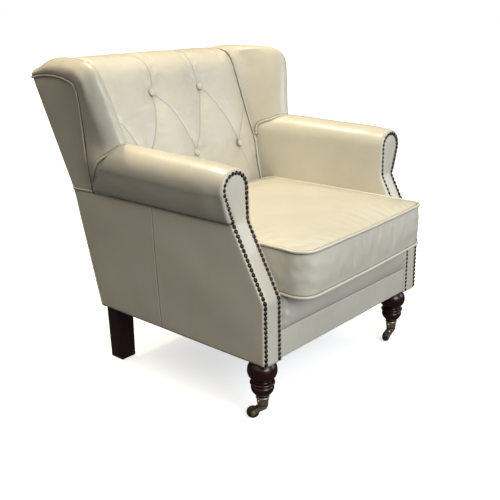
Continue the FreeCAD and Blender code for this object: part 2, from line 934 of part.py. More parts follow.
def make_front_borders():
    half = s.arm_inner - s.gap
    upper = [
        (3, s.border_level),
        (11, s.border_level),
        (11, s.spring_level + 6),
        (61, s.spring_level + 6),
        (61, s.deck_level),
        (3, s.deck_level, 95),
    ]
    pad = prism("upper_border", "side", upper, -half, half * 2)
    finish("front_border_upper", pad)
    lower = [
        (4, s.base_level),
        (10, s.base_level),
        (10, s.border_level - s.gap),
        (4, s.border_level - s.gap),
    ]
    band = prism("lower_border", "side", lower, -half, half * 2)
    finish("front_border_lower", band)


def cushion_outline(grow, corner, rear_corner):
    """The loose seat cushion in plan, with rounder corners at the front."""
    half = s.cushion_half + grow
    front = s.cushion_front - grow
    rear = s.cushion_front + s.cushion_deep + grow
    return [
        (-half + corner, front),
        (half - corner, front, corner),
        (half, front + corner),
        (half, rear - rear_corner, rear_corner),
        (half - rear_corner, rear),
        (-half + rear_corner, rear, rear_corner),
        (-half, rear - rear_corner),
        (-half, front + corner, corner),
    ]


def make_cushion():
    corner = s.cushion_corner
    cushion = padded("cushion", cushion_outline(0, corner, 25), s.cushion_high)
    doc.recompute()
    tip = cushion.Tip
    flat = [
        f"Edge{i}"
        for i, edge in enumerate(tip.Shape.Edges, start=1)
        if edge.BoundBox.ZLength < 1e-6
    ]
    rounding = cushion.newObject("PartDesign::Fillet", "cushion_rounding")
    rounding.Base = (tip, flat)
    bind(rounding, Radius=s.cushion_edge)
    cushion.Tip = rounding
    bind(cushion, Base_z=s.cushion_level)
    finish("seat_cushion", cushion)

    cords = []
    inset = s.piping_radius * -0.5
    for name, level in (("lower", s.piping_low), ("upper", s.piping_high)):
        route = cushion_outline(inset, corner, 25)
        path = outline(f"{name}_piping_path", "plan", route, level)
        ring = doc.addObject("Part::Circle", f"{name}_piping_ring")
        ring.Placement = Placement(Vector(), Rotation(Vector(0, 1, 0), 90))
        bind(ring, Radius=s.piping_radius, Base_z=level)
        bind(ring, Base_y=s.cushion_front - inset)
        cord = doc.addObject("Part::Sweep", f"{name}_piping")
        cord.Sections = [ring]
        doc.recompute()
        edges = [f"Edge{i + 1}" for i in range(len(path.Shape.Edges))]
        cord.Spine = (path, edges)
        cord.Solid = True
        cord.Frenet = False
        cords.append(cord)
    finish("cushion_piping", group("cushion_piping", cords))

    rear = s.cushion_front + s.cushion_deep
    tape = box(
        "zip_tape",
        (-210, rear + 0.2, s.piping_low + 44),
        (210, rear + 2.2, s.piping_low + 60),
    )
    puller = box(
        "zip_puller",
        (186, rear + 2.3, s.piping_low + 46),
        (206, rear + 5.3, s.piping_low + 58),
    )
    finish("cushion_zip", group("cushion_zip", [tape, puller]))


# --------------------------------------------------------- legs and castors


def bolt_rods(name, clearance):
    """Hanger bolts of all four legs, thicker by clearance."""
    places = [
        (s.leg_x, s.leg_y),
        (-s.leg_x, s.leg_y),
        (size(312), size(590)),
        (size(-312), size(590)),
    ]
    radius = s.bolt_radius - 0.1 + clearance
    return [
        rod(f"{name}_bolt_{i}", radius, 50, x, y, s.base_level - 22)
        for i, (x, y) in enumerate(places)
    ]


def front_leg_outline():
    """Half of the turned leg, from the castor end up to the frame."""
    top = s.base_level - 0.2
    return [
        (0, s.cup_bottom + 3.4),
        (s.cup_foot_radius - s.cup_wall - 0.3, s.cup_bottom + 3.4),
        (s.cup_top_radius - s.cup_wall - 0.3, s.cup_top),
        (s.ankle_radius, s.cup_top + 3, -50),
        (s.bulb_radius - 3, 78, s.bulb_radius - 16),
        (s.bulb_radius - 3, 91),
        (s.ring_radius - 7, 93),
        (s.ring_radius - 7, 96),
        (s.ring_radius - 1.5, 96.5, 3.6),
        (s.ring_radius - 1.5, 102.5),
        (s.ring_radius - 9, 104),
        (s.ring_radius - 9, 109),
        (s.ball_radius - 10, 112, s.ball_radius - 13),
        (s.ball_radius - 9, 152),
        (s.ball_radius - 11, 157),
        (s.ball_radius - 11, top),
        (0, top),
    ]


def make_front_legs():
    for side, name in ((-1, "left"), (1, "right")):
        leg = turned(f"{name}_leg_turning", front_leg_outline())
        bind(leg, Base_x=s.leg_x * side, Base_y=s.leg_y)
        bolt = rod(
            f"{name}_leg_bolt_room",
            s.bolt_radius,
            30,
            s.leg_x * side,
            s.leg_y,
            s.base_level - 22.2,
        )
        stem = rod(
            f"{name}_leg_stem_room",
            s.stem_radius + 0.6,
            22,
            s.leg_x * side,
            s.leg_y,
            s.cup_bottom,
        )
        screws = fuse(f"{name}_leg_screw_room", screw_rods(name, "leg", side, 0.1))
        rooms = fuse(f"{name}_leg_rooms", [bolt, stem, screws])
        finish(f"{name}_front_leg", cut(f"{name}_front_leg", leg, rooms))


def screw_rods(name, use, side, clearance):
    """The two screws that hold a castor cup, level with the cup's rim."""
    rods = []
    for i, way in enumerate((-1, 1)):
        turn = Rotation(Vector(0, 1, 0), 90 * way)
        start = s.leg_x * side + 9 * way
        shank = rod(
            f"{name}_{use}_screw_{i}",
            1.4 + clearance,
            7.7,
            start,
            s.leg_y,
            s.cup_top - 8,
            turn,
        )
        rods.append(shank)
    return rods


def make_cup_screws():
    screws = []
    for side, name in ((-1, "left"), (1, "right")):
        shanks = screw_rods(name, "cup", side, 0)
        for i, way in enumerate((-1, 1)):
            head = doc.addObject("Part::Cone", f"{name}_screw_head_{i}")
            head.Placement = Placement(Vector(), Rotation(Vector(0, 1, 0), 90 * way))
            bind(head, Radius1=2.9, Radius2=1.8, Height=1.4)
            bind(head, Base_x=s.leg_x * side + 16.6 * way)
            bind(head, Base_y=s.leg_y, Base_z=s.cup_top - 8)
            screws.append(fuse(f"{name}_screw_{i}", [shanks[i], head]))
    finish("cup_screws", group("cup_screws", screws))


def make_rear_legs():
    for side, name in ((-1, "left"), (1, "right")):
        leg = doc.addObject("Part::Wedge", f"{name}_rear_leg_blank")
        foot = s.rear_leg_foot * 0.5
        top = s.rear_leg_top * 0.5
        leg.Placement = Placement(Vector(), Rotation(Vector(1, 0, 0), 90))
        bind(leg, Base_x=s.rear_leg_x * side, Base_y=s.rear_leg_y)
        bind(leg, Xmin=-foot, Xmax=foot, Zmin=-foot, Zmax=foot)
        bind(leg, X2min=-top, X2max=top, Z2min=-top, Z2max=top)
        bind(leg, Ymin=0, Ymax=s.base_level - 0.2)
        hole = rod(
            f"{name}_rear_leg_hole",
            s.bolt_radius,
            30,
            size(312 * side),
            590,
            s.base_level - 22.2,
        )
        finish(f"{name}_rear_leg", cut(f"{name}_rear_leg", leg, hole))


def fork_side():
    """One cheek of the castor fork, seen from the side of the wheel."""
    return [
        (-9, s.cup_bottom - 0.6),
        (-9, s.cup_bottom - 4),
        (2, s.cup_bottom - 9, -60),
        (s.trail - 5.5, s.wheel_radius - 3.5, 6.5),
        (s.trail + 5.5, s.wheel_radius - 3.5, 6.5),
        (s.trail + 3.4, s.wheel_radius + 5.6),
        (12, s.cup_bottom - 0.6),
    ]


def castor_place(thing, side, angle):
    """Sets a castor piece under its leg, turned to the way the castor trails."""
    thing.Placement = Placement(Vector(), Rotation(Vector(0, 0, 1), angle))
    return bind(thing, Base_x=s.leg_x * side, Base_y=s.leg_y - s.centre_y)


def make_castors():
    half = s.wheel_width * 0.5
    tread = 1.8
    for side, name, angle in ((-1, "left", 135), (1, "right", 180)):
        cup = turned(
            f"{name}_cup_turning",
            [
                (s.stem_radius + s.stem_play, s.cup_bottom),
                (s.cup_foot_radius, s.cup_bottom),
                (s.cup_top_radius, s.cup_top - 3),
                (s.cup_top_radius + 0.8, s.cup_top - 2),
                (s.cup_top_radius + 0.8, s.cup_top - 0.6),
                (s.cup_top_radius, s.cup_top),
                (s.cup_top_radius - s.cup_wall, s.cup_top),
                (s.cup_foot_radius - s.cup_wall, s.cup_bottom + 3),
                (s.stem_radius + s.stem_play, s.cup_bottom + 3),
            ],
        )
        bind(cup, Base_x=s.leg_x * side, Base_y=s.leg_y)
        holes = fuse(f"{name}_cup_screw_room", screw_rods(name, "hole", side, 0.1))
        finish(f"{name}_castor_cup", cut(f"{name}_castor_cup", cup, holes))

        plate_thick = 2.8
        plate = rod(
            f"{name}_fork_plate", 12, plate_thick, 0, 0, s.cup_bottom - plate_thick - 0.6
        )
        stem = rod(
            f"{name}_fork_stem", s.stem_radius, 22, 0, 0, s.cup_bottom - plate_thick
        )
        left_cheek = prism(
            f"{name}_cheek_a", "front", fork_side(), half + 0.8, s.cheek
        )
        right_cheek = prism(
            f"{name}_cheek_b", "front", fork_side(), -half - 0.8 - s.cheek, s.cheek
        )
        bridge = box(
            f"{name}_fork_bridge",
            (-9, -half - 0.8, s.cup_bottom - 0.6 - plate_thick),
            (12, half + 0.8, s.cup_bottom - 0.6),
        )
        solid = fuse(
            f"{name}_fork_solid", [plate, stem, left_cheek, right_cheek, bridge]
        )
        hole = rod(
            f"{name}_fork_hole",
            s.axle_radius,
            40,
            s.trail,
            20,
            s.wheel_radius,
            Rotation(Vector(1, 0, 0), 90),
        )
        fork = cut(f"{name}_castor_fork", solid, hole)
        fork.Label = f"{name}_castor_fork"
        finished.append(castor_place(fork, side, angle))

        reach = half + 0.8 + s.cheek
        across = Rotation(Vector(1, 0, 0), 90)
        shaft = rod(
            f"{name}_axle_shaft",
            s.axle_radius,
            reach * 2,
            s.trail,
            reach,
            s.wheel_radius,
            across,
        )
        heads = [
            rod(
                f"{name}_axle_head_{i}",
                s.axle_radius + 1.6,
                1.4,
                s.trail,
                start,
                s.wheel_radius,
                across,
            )
            for i, start in enumerate((reach + 1.4, -reach))
        ]
        axle = fuse(f"{name}_castor_axle", [shaft, *heads])
        axle.Label = f"{name}_castor_axle"
        finished.append(castor_place(axle, side, angle))

        bore = s.axle_radius + s.stem_play
        wheel = turned(
            f"{name}_wheel_turning",
            [
                (-half, bore),
                (half, bore),
                (half, 7),
                (half - 1.5, 8),
                (half - 1.5, s.wheel_radius - 4),
                (half - 1, s.wheel_radius - tread, bulge(half - 1, tread)),
                (-half + 1, s.wheel_radius - tread),
                (-half + 1.5, s.wheel_radius - 4),
                (-half + 1.5, 8),
                (-half, 7),
            ],
            axis="H_Axis",
        )
        wheel.Placement = Placement(
            Vector(s.trail.value, 0, 0), Rotation(Vector(0, 0, 1), 90)
        )
        bind(wheel, Base_x=s.trail, Base_z=s.wheel_radius)
        hub = group(f"{name}_castor_wheel", [wheel])
        hub.Label = f"{name}_castor_wheel"
        finished.append(castor_place(hub, side, angle))


def make_leg_bolts():
    finish("leg_bolts", group("leg_bolts", bolt_rods("leg", 0)))


# ------------------------------------------------------------------- export


def check_and_export():
    doc.recompute()
    bad = [o.Name for o in doc.Objects if {"Invalid", "Error"} & set(o.State)]
    if bad:
        raise RuntimeError(f"these objects failed to recompute: {bad}")
    os.makedirs("parts", exist_ok=True)
    for thing in finished:
        shape = thing.Shape
        if shape.isNull() or not shape.isValid() or not shape.Solids:
            raise RuntimeError(f"{thing.Label} has no valid solid")
    for thing in finished:
        thing.Shape.exportStep(f"parts/{thing.Label}.step")


make_frame()
make_corner_blocks()
make_wings()
make_facings()
make_arm_pads()
make_outside_arms()
make_nails()
make_back()
make_seat_deck()
make_front_borders()
make_cushion()
make_front_legs()
make_rear_legs()
make_castors()
make_cup_screws()
make_leg_bolts()
check_and_export()
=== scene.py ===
import math

import bmesh
import bpy
import numpy as np
from mathutils import Matrix, Vector
from mathutils.bvhtree import BVHTree


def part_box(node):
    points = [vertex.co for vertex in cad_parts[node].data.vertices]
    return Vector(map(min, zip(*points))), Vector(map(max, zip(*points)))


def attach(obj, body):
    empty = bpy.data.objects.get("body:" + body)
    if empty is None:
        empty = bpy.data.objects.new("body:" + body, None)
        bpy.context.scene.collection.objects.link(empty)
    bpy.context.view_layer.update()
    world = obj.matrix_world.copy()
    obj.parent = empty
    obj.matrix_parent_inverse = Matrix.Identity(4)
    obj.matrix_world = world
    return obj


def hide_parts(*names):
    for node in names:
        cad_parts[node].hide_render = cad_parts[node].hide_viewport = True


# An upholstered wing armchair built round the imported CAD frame.
# Shapes are drawn in chair millimetres: X across, Y rearward from the front plane
# of the arm facings, Z up from the floor. metres() moves them into the row frame.

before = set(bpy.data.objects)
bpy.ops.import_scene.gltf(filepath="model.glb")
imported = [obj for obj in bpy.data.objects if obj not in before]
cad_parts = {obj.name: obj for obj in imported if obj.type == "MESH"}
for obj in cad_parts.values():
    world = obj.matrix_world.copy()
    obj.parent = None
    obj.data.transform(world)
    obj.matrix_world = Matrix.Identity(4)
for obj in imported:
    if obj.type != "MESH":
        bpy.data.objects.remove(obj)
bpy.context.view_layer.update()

MM = 0.001
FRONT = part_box("right_facing")[0].y / MM
# points that the covers face away from
INSIDE = (0, 330, 400)
BEHIND = (0, 1200, 300)
HIDE = 2.0  # the leather's thickness

# ------------------------------------------------------------------ curves


def metres(points):
    out = np.array(points, float)
    out[..., 1] += FRONT
    return out * MM


def even(line, count, closed=False):
    """The same line with evenly spaced points."""
    step = np.linalg.norm(np.diff(line, axis=0), axis=1)
    run = np.concatenate(([0], np.cumsum(step)))
    at = np.linspace(0, run[-1], count, endpoint=not closed)
    return np.stack([np.interp(at, run, column) for column in line.T], axis=1)


def curve(points, count, closed=False):
    """A smooth line through the points."""
    p = np.array(points, float)
    if closed:
        p = np.vstack((p[-1], p, p[0], p[1]))
    else:
        p = np.vstack((2 * p[0] - p[1], p, 2 * p[-1] - p[-2]))
    t = np.linspace(0, 1, 16, endpoint=False)[:, None]
    fine = [
        0.5
        * (
            2 * b
            + (c - a) * t
            + (2 * a - 5 * b + 4 * c - d) * t**2
            + (3 * b - a - 3 * c + d) * t**3
        )
        for a, b, c, d in zip(p, p[1:], p[2:], p[3:])
    ]
    return even(np.vstack(fine + [p[-2:-1]]), count, closed)


def skin(sections, rows, columns):
    """A smooth grid through sections that have matching control points."""
    across = np.stack([curve(section, columns) for section in sections])
    lines = [curve(across[:, j], rows) for j in range(columns)]
    return np.stack(lines, axis=1)


def coons(bottom, top, left, right):
    """A grid between four edges; bottom and top run from left to right."""
    rows, columns = len(left), len(bottom)
    v = np.linspace(0, 1, rows)[:, None, None]
    u = np.linspace(0, 1, columns)[None, :, None]
    between = (1 - v) * bottom[None] + v * top[None]
    between = between + (1 - u) * left[:, None] + u * right[:, None]
    corners = (1 - u) * (1 - v) * bottom[0] + u * (1 - v) * bottom[-1]
    corners = corners + (1 - u) * v * top[0] + u * v * top[-1]
    return between - corners


def soft_step(x):
    """0 up to nought, 1 from one on, and smooth in between."""
    x = np.clip(x, 0, 1)
    return x * x * (3 - 2 * x)


def bell(x):
    """1 at nought, fading to nothing at about 2 on either side."""
    return np.exp(-(x**2))


def ripple(points, length, seed, waves=9):
    """Smooth unevenness of about the given wavelength, from -1 to 1."""
    rng = np.random.default_rng(seed)
    total = np.zeros(points.shape[:-1])
    for _ in range(waves):
        way = rng.normal(size=3)
        way /= np.linalg.norm(way)
        pitch = length * rng.uniform(0.7, 1.6)
        phase = rng.uniform(0, 2 * math.pi)
        total += np.sin(points @ way * (2 * math.pi / pitch) + phase)
    return total / waves**0.5 / 1.6


def grid_normals(grid, inside=INSIDE):
    along = np.gradient(grid, axis=0)
    across = np.gradient(grid, axis=1)
    normal = np.cross(along, across)
    normal /= np.maximum(np.linalg.norm(normal, axis=2, keepdims=True), 1e-9)
    middle = grid[grid.shape[0] // 2, grid.shape[1] // 2]
    outward = normal[grid.shape[0] // 2, grid.shape[1] // 2]
    if np.dot(outward, middle - np.array(inside)) < 0:
        normal = -normal
    return normal


def lift(grid, height, inside=INSIDE):
    """The grid moved along its own outward normals."""
    return grid + grid_normals(grid, inside) * height[..., None]


def distance(points, line):
    """How far each point is from a line, and on which side of it."""
    flat = points.reshape(-1, points.shape[-1])
    nearest = np.full(len(flat), 1e9)
    side = np.ones(len(flat))
    for a, b in zip(line, line[1:]):
        way = b - a
        t = np.clip((flat - a) @ way / max(way @ way, 1e-9), 0, 1)
        off = flat - a - t[:, None] * way
        far = np.linalg.norm(off, axis=1)
        closer = far < nearest
        turn = way[0] * off[:, 1] - way[1] * off[:, 0]
        nearest[closer] = far[closer]
        side[closer] = np.sign(turn[closer])
    return nearest.reshape(points.shape[:-1]), side.reshape(points.shape[:-1])


# ------------------------------------------------------------------ meshes

def new_piece(name, vertices, faces, material, body="root"):
    mesh = bpy.data.meshes.new(name)
    mesh.from_pydata([tuple(v) for v in vertices], [], faces)
    mesh.validate()
    piece = bpy.data.objects.new(name, mesh)
    bpy.context.scene.collection.objects.link(piece)
    mesh.materials.append(material)
    mesh.shade_smooth()
    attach(piece, body)
    return piece


def grid_faces(rows, columns, loop_rows=False, loop_columns=False, start=0):
    faces = []
    for i in range(rows if loop_rows else rows - 1):
        for j in range(columns if loop_columns else columns - 1):
            near, far = i * columns, (i + 1) % rows * columns
            right = (j + 1) % columns
            face = (near + j, near + right, far + right, far + j)
            faces.append(tuple(start + k for k in face))
    return faces


def caps(rings, sides, start=0):
    """The two end faces of a tube of rings."""
    last = start + (rings - 1) * sides
    return [tuple(range(start, start + sides))[::-1], tuple(range(last, last + sides))]


def spread(x, y, z):
    """A grid of points from coordinates that vary by row, by column or by both."""
    return np.stack(np.broadcast_arrays(x, y, z), axis=-1)


def grid_piece(name, grid, inside=INSIDE):
    """A leather skin from a grid of chair points, facing away from a point inside."""
    rows, columns = grid.shape[:2]
    faces = grid_faces(rows, columns)
    along = grid[rows // 2 + 1, columns // 2] - grid[rows // 2, columns // 2]
    across = grid[rows // 2, columns // 2 + 1] - grid[rows // 2, columns // 2]
    outward = grid_normals(grid, inside)[rows // 2, columns // 2]
    if np.dot(np.cross(across, along), outward) < 0:
        faces = [face[::-1] for face in faces]
    return new_piece(name, metres(grid).reshape(-1, 3), faces, LEATHER)


def cover(piece, crease, node):
    """Makes an open skin the leather that stands for a soft part of the frame."""
    set_painted_shade(piece, crease)
    hide = piece.modifiers.new("hide", "SOLIDIFY")
    hide.thickness = HIDE * MM
    hide.offset = -1
    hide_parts(node)


def set_painted_shade(piece, values):
    """Painted shade along the hide's seams, nails and folds, point by point."""
    layer = piece.data.attributes.new("crease", "FLOAT", "POINT")
    layer.data.foreach_set("value", np.clip(values, 0, 1).astype(np.float32).ravel())


def read(mesh, what="co"):
    """A mesh's points or normals."""
    flat = np.empty(len(mesh.vertices) * 3)
    mesh.vertices.foreach_get(what, flat)
    return flat.reshape(-1, 3)


def chair_points(piece):
    points = read(piece.data) / MM
    points[:, 1] -= FRONT
    return points


def write_points(piece, points):
    piece.data.vertices.foreach_set("co", points.ravel())
    piece.data.update()


def apply_modifiers(piece):
    graph = bpy.context.evaluated_depsgraph_get()
    shaped = bpy.data.meshes.new_from_object(piece.evaluated_get(graph))
    old = piece.data
    piece.modifiers.clear()
    piece.data = shaped
    bpy.data.meshes.remove(old)


def subdivide(piece, levels):
    finer = piece.modifiers.new("finer", "SUBSURF")
    finer.levels = finer.render_levels = levels
    apply_modifiers(piece)


def tube(name, path, radius, closed, body):
    """A round leather cord along a line of chair points."""
    sides = 10
    path = np.array(path, float)
    if closed:
        way = np.roll(path, -1, 0) - np.roll(path, 1, 0)
    else:
        way = np.gradient(path, axis=0)
    way /= np.linalg.norm(way, axis=1, keepdims=True)
    side = np.cross(way[0], (0, 0, 1))
    if np.linalg.norm(side) < 0.2:
        side = np.cross(way[0], (1, 0, 0))
    sides_at = []
    for here in way:
        side = side - here * np.dot(side, here)
        side /= np.linalg.norm(side)
        sides_at.append(side)
    side = np.array(sides_at)
    if closed:
        up = np.cross(way[0], side[0])
        last = side[-1] - way[0] * np.dot(side[-1], way[0])
        twist = math.atan2(np.dot(last, up), np.dot(last, side[0]))
        turn = -np.linspace(0, twist, len(path), endpoint=False)[:, None]
        side = side * np.cos(turn) + np.cross(way, side) * np.sin(turn)
    up = np.cross(way, side)
    angle = np.linspace(0, 2 * math.pi, sides, endpoint=False)[None, :, None]
    ring = np.cos(angle) * side[:, None] + np.sin(angle) * up[:, None]
    points = path[:, None] + radius * ring
    faces = grid_faces(len(path), sides, closed, True)
    if not closed:
        faces += caps(len(path), sides)
    flipped = [face[::-1] for face in faces]
    return new_piece(name, metres(points).reshape(-1, 3), flipped, LEATHER, body)


def beside_cord(far, reach=5.5):
    """The painted shade beside a cord, by the distance from its middle."""
    blur = 2.4
    return 1 - soft_step((far - reach + blur / 2) / blur)


def piping(name, path, closed=False, radius=3.0, body="root"):
    """A leather cord over a seam, a little uneven."""
    path = np.array(path, float)
    seed = len(name)
    path = path + 0.25 * ripple(path, 34, seed)[:, None]
    cord = tube(name, path, radius, closed, body)
    return cord


def lathe(name, profile, centre, material, steps):
    """A turned piece: (radius, level) pairs about an upright axis."""
    radius, level = np.array(profile, float).T[..., None]
    angle = np.linspace(0, 2 * math.pi, steps, endpoint=False)
    x = centre[0] + radius * np.cos(angle)
    points = spread(x, centre[1] + radius * np.sin(angle), level)
    faces = grid_faces(len(profile), steps, False, True) + caps(len(profile), steps)
    return new_piece(name, metres(points).reshape(-1, 3), faces, material)


def inflate(piece, held, pressure, cap, slack, frames=20):
    """Lets air pressure fill the leather between the points that are held."""
    before = read(piece.data)
    group = piece.vertex_groups.new(name="held")
    group.add([int(i) for i in np.flatnonzero(held)], 1.0, "REPLACE")
    cloth = piece.modifiers.new("air", "CLOTH")
    settings = {
        "vertex_group_mass": "held",
        "quality": 5,
        "mass": 0.3,
        "tension_stiffness": 20,
        "compression_stiffness": 20,
        "shear_stiffness": 10,
        "bending_stiffness": 2,
        "use_pressure": True,
        "uniform_pressure_force": pressure,
        "shrink_min": -slack,
    }
    for name, value in settings.items():
        setattr(cloth.settings, name, value)
    cloth.settings.effector_weights.gravity = 0
    cloth.point_cache.frame_start = 1
    cloth.point_cache.frame_end = frames
    scene = bpy.context.scene
    for moment in range(1, frames + 1):
        scene.frame_set(moment)
    graph = bpy.context.evaluated_depsgraph_get()
    moved = read(piece.evaluated_get(graph).to_mesh()) - before
    piece.evaluated_get(graph).to_mesh_clear()
    piece.modifiers.clear()
    piece.vertex_groups.clear()
    scene.frame_set(1)
    far = np.linalg.norm(moved, axis=1, keepdims=True)
    limit = cap * MM
    scale = np.where(far > limit, limit / np.maximum(far, 1e-9), 1)
    write_points(piece, before + moved * scale)


# --------------------------------------------------------------- materials


def fill_ramp(ramp, stops):
    while len(ramp.elements) < len(stops):
        ramp.elements.new(0.5)
    for element, (at, colour) in zip(ramp.elements, stops):
        element.position = at
        element.color = (*colour, 1)


class Paint:
    """A node material under construction."""

    def __init__(self, name):
        self.material = bpy.data.materials.new(name)
        self.material.use_nodes = True
        self.tree = self.material.node_tree
        self.shader = self.tree.nodes["Principled BSDF"]
        self.place = self.add("ShaderNodeTexCoord").outputs["Object"]

    def add(self, kind, **inputs):
        node = self.tree.nodes.new(kind)
        for name, value in inputs.items():
            self.feed(node, name.replace("_", " "), value)
        return node

    def feed(self, node, name, value):
        """Sets or links an input, by its name or number."""
        if isinstance(value, bpy.types.NodeSocket):
            self.tree.links.new(value, node.inputs[name])
        elif isinstance(value, bpy.types.Node):
            self.tree.links.new(value.outputs[0], node.inputs[name])
        else:
            node.inputs[name].default_value = value

    def noise(self, scale, detail=3.0, distortion=0.0, place=None):
        node = self.add("ShaderNodeTexNoise", Vector=place or self.place, Scale=scale)
        node.inputs["Detail"].default_value = detail
        node.inputs["Distortion"].default_value = distortion
        return node.outputs["Fac"]

    def stretched(self, x, y, z):
        node = self.add("ShaderNodeMapping", Vector=self.place, Scale=(x, y, z))
        return node.outputs[0]

    def ramp(self, factor, stops):
        node = self.add("ShaderNodeValToRGB", Fac=factor)
        fill_ramp(node.color_ramp, stops)
        return node.outputs[0]

    def span(self, factor, low, high, start=0.3, end=0.7):
        return self.add(
            "ShaderNodeMapRange",
            Value=factor,
            From_Min=start,
            From_Max=end,
            To_Min=low,
            To_Max=high,
        ).outputs[0]

    def mix(self, factor, first, second):
        node = self.add("ShaderNodeMix")
        node.data_type = "RGBA"
        for index, value in ((0, factor), (6, first), (7, second)):
            if isinstance(value, tuple):
                value = (*value, 1)
            self.feed(node, index, value)
        return node.outputs[2]

    def larger(self, first, second):
        node = self.add("ShaderNodeMath")
        node.operation = "MAXIMUM"
        self.feed(node, 0, first)
        self.feed(node, 1, second)
        return node.outputs[0]

    def bump(self, height, depth, strength=1.0, under=None):
        node = self.add("ShaderNodeBump", Height=height, Distance=depth, Strength=strength)
        if under:
            self.feed(node, "Normal", under)
        return node.outputs[0]

    def finish(self, **inputs):
        for name, value in inputs.items():
            self.feed(self.shader, name.replace("_", " "), value)
        return self.material


def leather(name, light, dark):
    """Smooth hide: mottled colour, painted shade along seams and folds, fine pores, soft
    creases, satin gloss.
    """
    paint = Paint(name)
    broad = paint.noise(5.0, 2.0)
    cloudy = paint.noise(38.0, 4.0, 0.6)
    tone = paint.mix(paint.span(broad, 0, 1), dark, light)
    warm = tuple(c * f for c, f in zip(light, (1.03, 0.99, 0.9)))
    tone = paint.mix(paint.span(cloudy, 0.0, 0.35), tone, warm)
    # painted shade: a per-point attribute darkens the hide towards a shadow tone at seams,
    # nails and folds
    crease = paint.add("ShaderNodeAttribute")
    crease.attribute_name = "crease"
    shadow = tuple(c * f for c, f in zip(dark, (0.26, 0.23, 0.19)))
    tone = paint.mix(crease.outputs["Fac"], tone, shadow)
    pores = paint.add("ShaderNodeTexVoronoi", Vector=paint.place, Scale=620.0)
    pores.feature = "DISTANCE_TO_EDGE"
    pebbles = paint.add("ShaderNodeTexVoronoi", Vector=paint.place, Scale=300.0)
    wrinkles = paint.noise(120.0, 5.0, 1.2)
    soft = paint.bump(wrinkles, 0.0007, 0.35)
    soft = paint.bump(pebbles.outputs["Distance"], 0.0003, 0.25, soft)
    soft = paint.bump(pores.outputs["Distance"], 0.0003, 0.35, soft)
    rough = paint.span(cloudy, 0.36, 0.48)
    return paint.finish(
        Base_Color=tone,
        Roughness=rough,
        Normal=soft,
        Specular_IOR_Level=0.6,
        Coat_Weight=0.35,
        Coat_Roughness=0.22,
    )


def turned_wood(name, dark, light, roughness, coat, scale=1.0):
    paint = Paint(name)
    along = paint.stretched(90 * scale, 90 * scale, 7 * scale)
    grain = paint.noise(1.0, 6.0, 0.8, along)
    fine = paint.noise(6.0, 4.0, 0.2, along)
    tone = paint.ramp(grain, [(0.3, dark), (0.7, light)])
    tone = paint.mix(paint.span(fine, 0, 0.5), tone, dark)
    return paint.finish(
        Base_Color=tone,
        Roughness=paint.span(fine, roughness - 0.05, roughness + 0.08),
        Normal=paint.bump(fine, 0.0004, 0.25),
        Coat_Weight=coat,
        Coat_Roughness=0.12,
    )


def metal(name, bright, tarnish, roughness, scale=180.0, metallic=1.0):
    paint = Paint(name)
    spots = paint.noise(scale, 5.0, 0.4)
    fine = paint.noise(scale * 6, 3.0)
    tone = paint.ramp(spots, [(0.36, tarnish), (0.62, bright)])
    return paint.finish(
        Base_Color=tone,
        Metallic=metallic,
        Roughness=paint.span(spots, roughness + 0.16, roughness - 0.04),
        Normal=paint.bump(fine, 0.0001, 0.3),
    )


def woven(name, light, dark, pitch, roughness=0.85):
    """Plain weave: two crossed sets of threads."""
    paint = Paint(name)
    threads = []
    for way in ("X", "Y"):
        wave = paint.add("ShaderNodeTexWave", Vector=paint.place, Scale=1.0)
        wave.inputs["Scale"].default_value = 0.05 / (pitch * MM)
        wave.inputs["Distortion"].default_value = 0.6
        wave.bands_direction = way
        threads.append(wave.outputs["Fac"])
    weave = paint.larger(*threads)
    tone = paint.mix(weave, dark, light)
    fuzz = paint.noise(900.0, 2.0)
    tone = paint.mix(paint.span(fuzz, 0, 0.3), tone, dark)
    return paint.finish(
        Base_Color=tone,
        Roughness=roughness,
        Normal=paint.bump(weave, 0.0004, 0.8),
        Sheen_Weight=0.2,
    )


LEATHER = leather("cream_hide", (0.66, 0.625, 0.54), (0.58, 0.545, 0.46))
MAHOGANY = turned_wood(
    "mahogany_stain", (0.010, 0.0024, 0.0018), (0.044, 0.0075, 0.0045), 0.28, 0.25
)
HARDWOOD = turned_wood(
    "frame_timber", (0.40, 0.26, 0.14), (0.60, 0.43, 0.26), 0.6, 0.0, 0.5
)
NAIL = metal("nail_bronze", (0.10, 0.068, 0.05), (0.012, 0.008, 0.007), 0.28, 240.0)
BRASS = metal("aged_brass", (0.90, 0.79, 0.55), (0.46, 0.36, 0.22), 0.33, 110.0)
TREAD = metal("tread", (0.045, 0.03, 0.024), (0.015, 0.010, 0.008), 0.30, 90.0, 0.0)
STEEL = metal("wire_steel", (0.5, 0.5, 0.49), (0.25, 0.25, 0.25), 0.3, 60.0)
BLACK_CLOTH = woven("dust_cloth", (0.03, 0.03, 0.032), (0.006, 0.006, 0.007), 0.8)
WEBBING = woven("jute", (0.46, 0.34, 0.19), (0.22, 0.15, 0.08), 2.0)
ZIP = woven("zip_tape", (0.62, 0.57, 0.46), (0.40, 0.36, 0.28), 0.6)

# --------------------------------------------------------- shared outlines

HALF = 350.0  # half width over the outside panels
ARM_INNER = 284.0  # inner face of the arms
BACK_HALF = 277.0  # half width of the inside back
BASE = 170.0  # underside of the covers
KNEE = 330.0  # top of the facings' upright part
NECK = 507.0  # underside of the arm rolls
SETBACK = 95.0  # how far the facings slope back from knee to neck
SEAM_RISE = (650 - 508.5) / (600 - 473)  # slope of the seam between arm and wing
SCROLL_X, SCROLL_Z, SCROLL_RADIUS = 332, 588, 46.5
WING_PIPING_Y = 604  # outer wing seam


def front_y(level):
    """The front of the facings at a level."""
    slope = np.clip((level - KNEE) / (NECK - KNEE), 0, 1) * SETBACK
    blur = 9.0
    low = np.clip(1 - np.abs(level - KNEE) / blur, 0, 1) ** 2
    high = np.clip(1 - np.abs(level - NECK) / blur, 0, 1) ** 2
    return slope + 1.2 * low - 1.2 * high


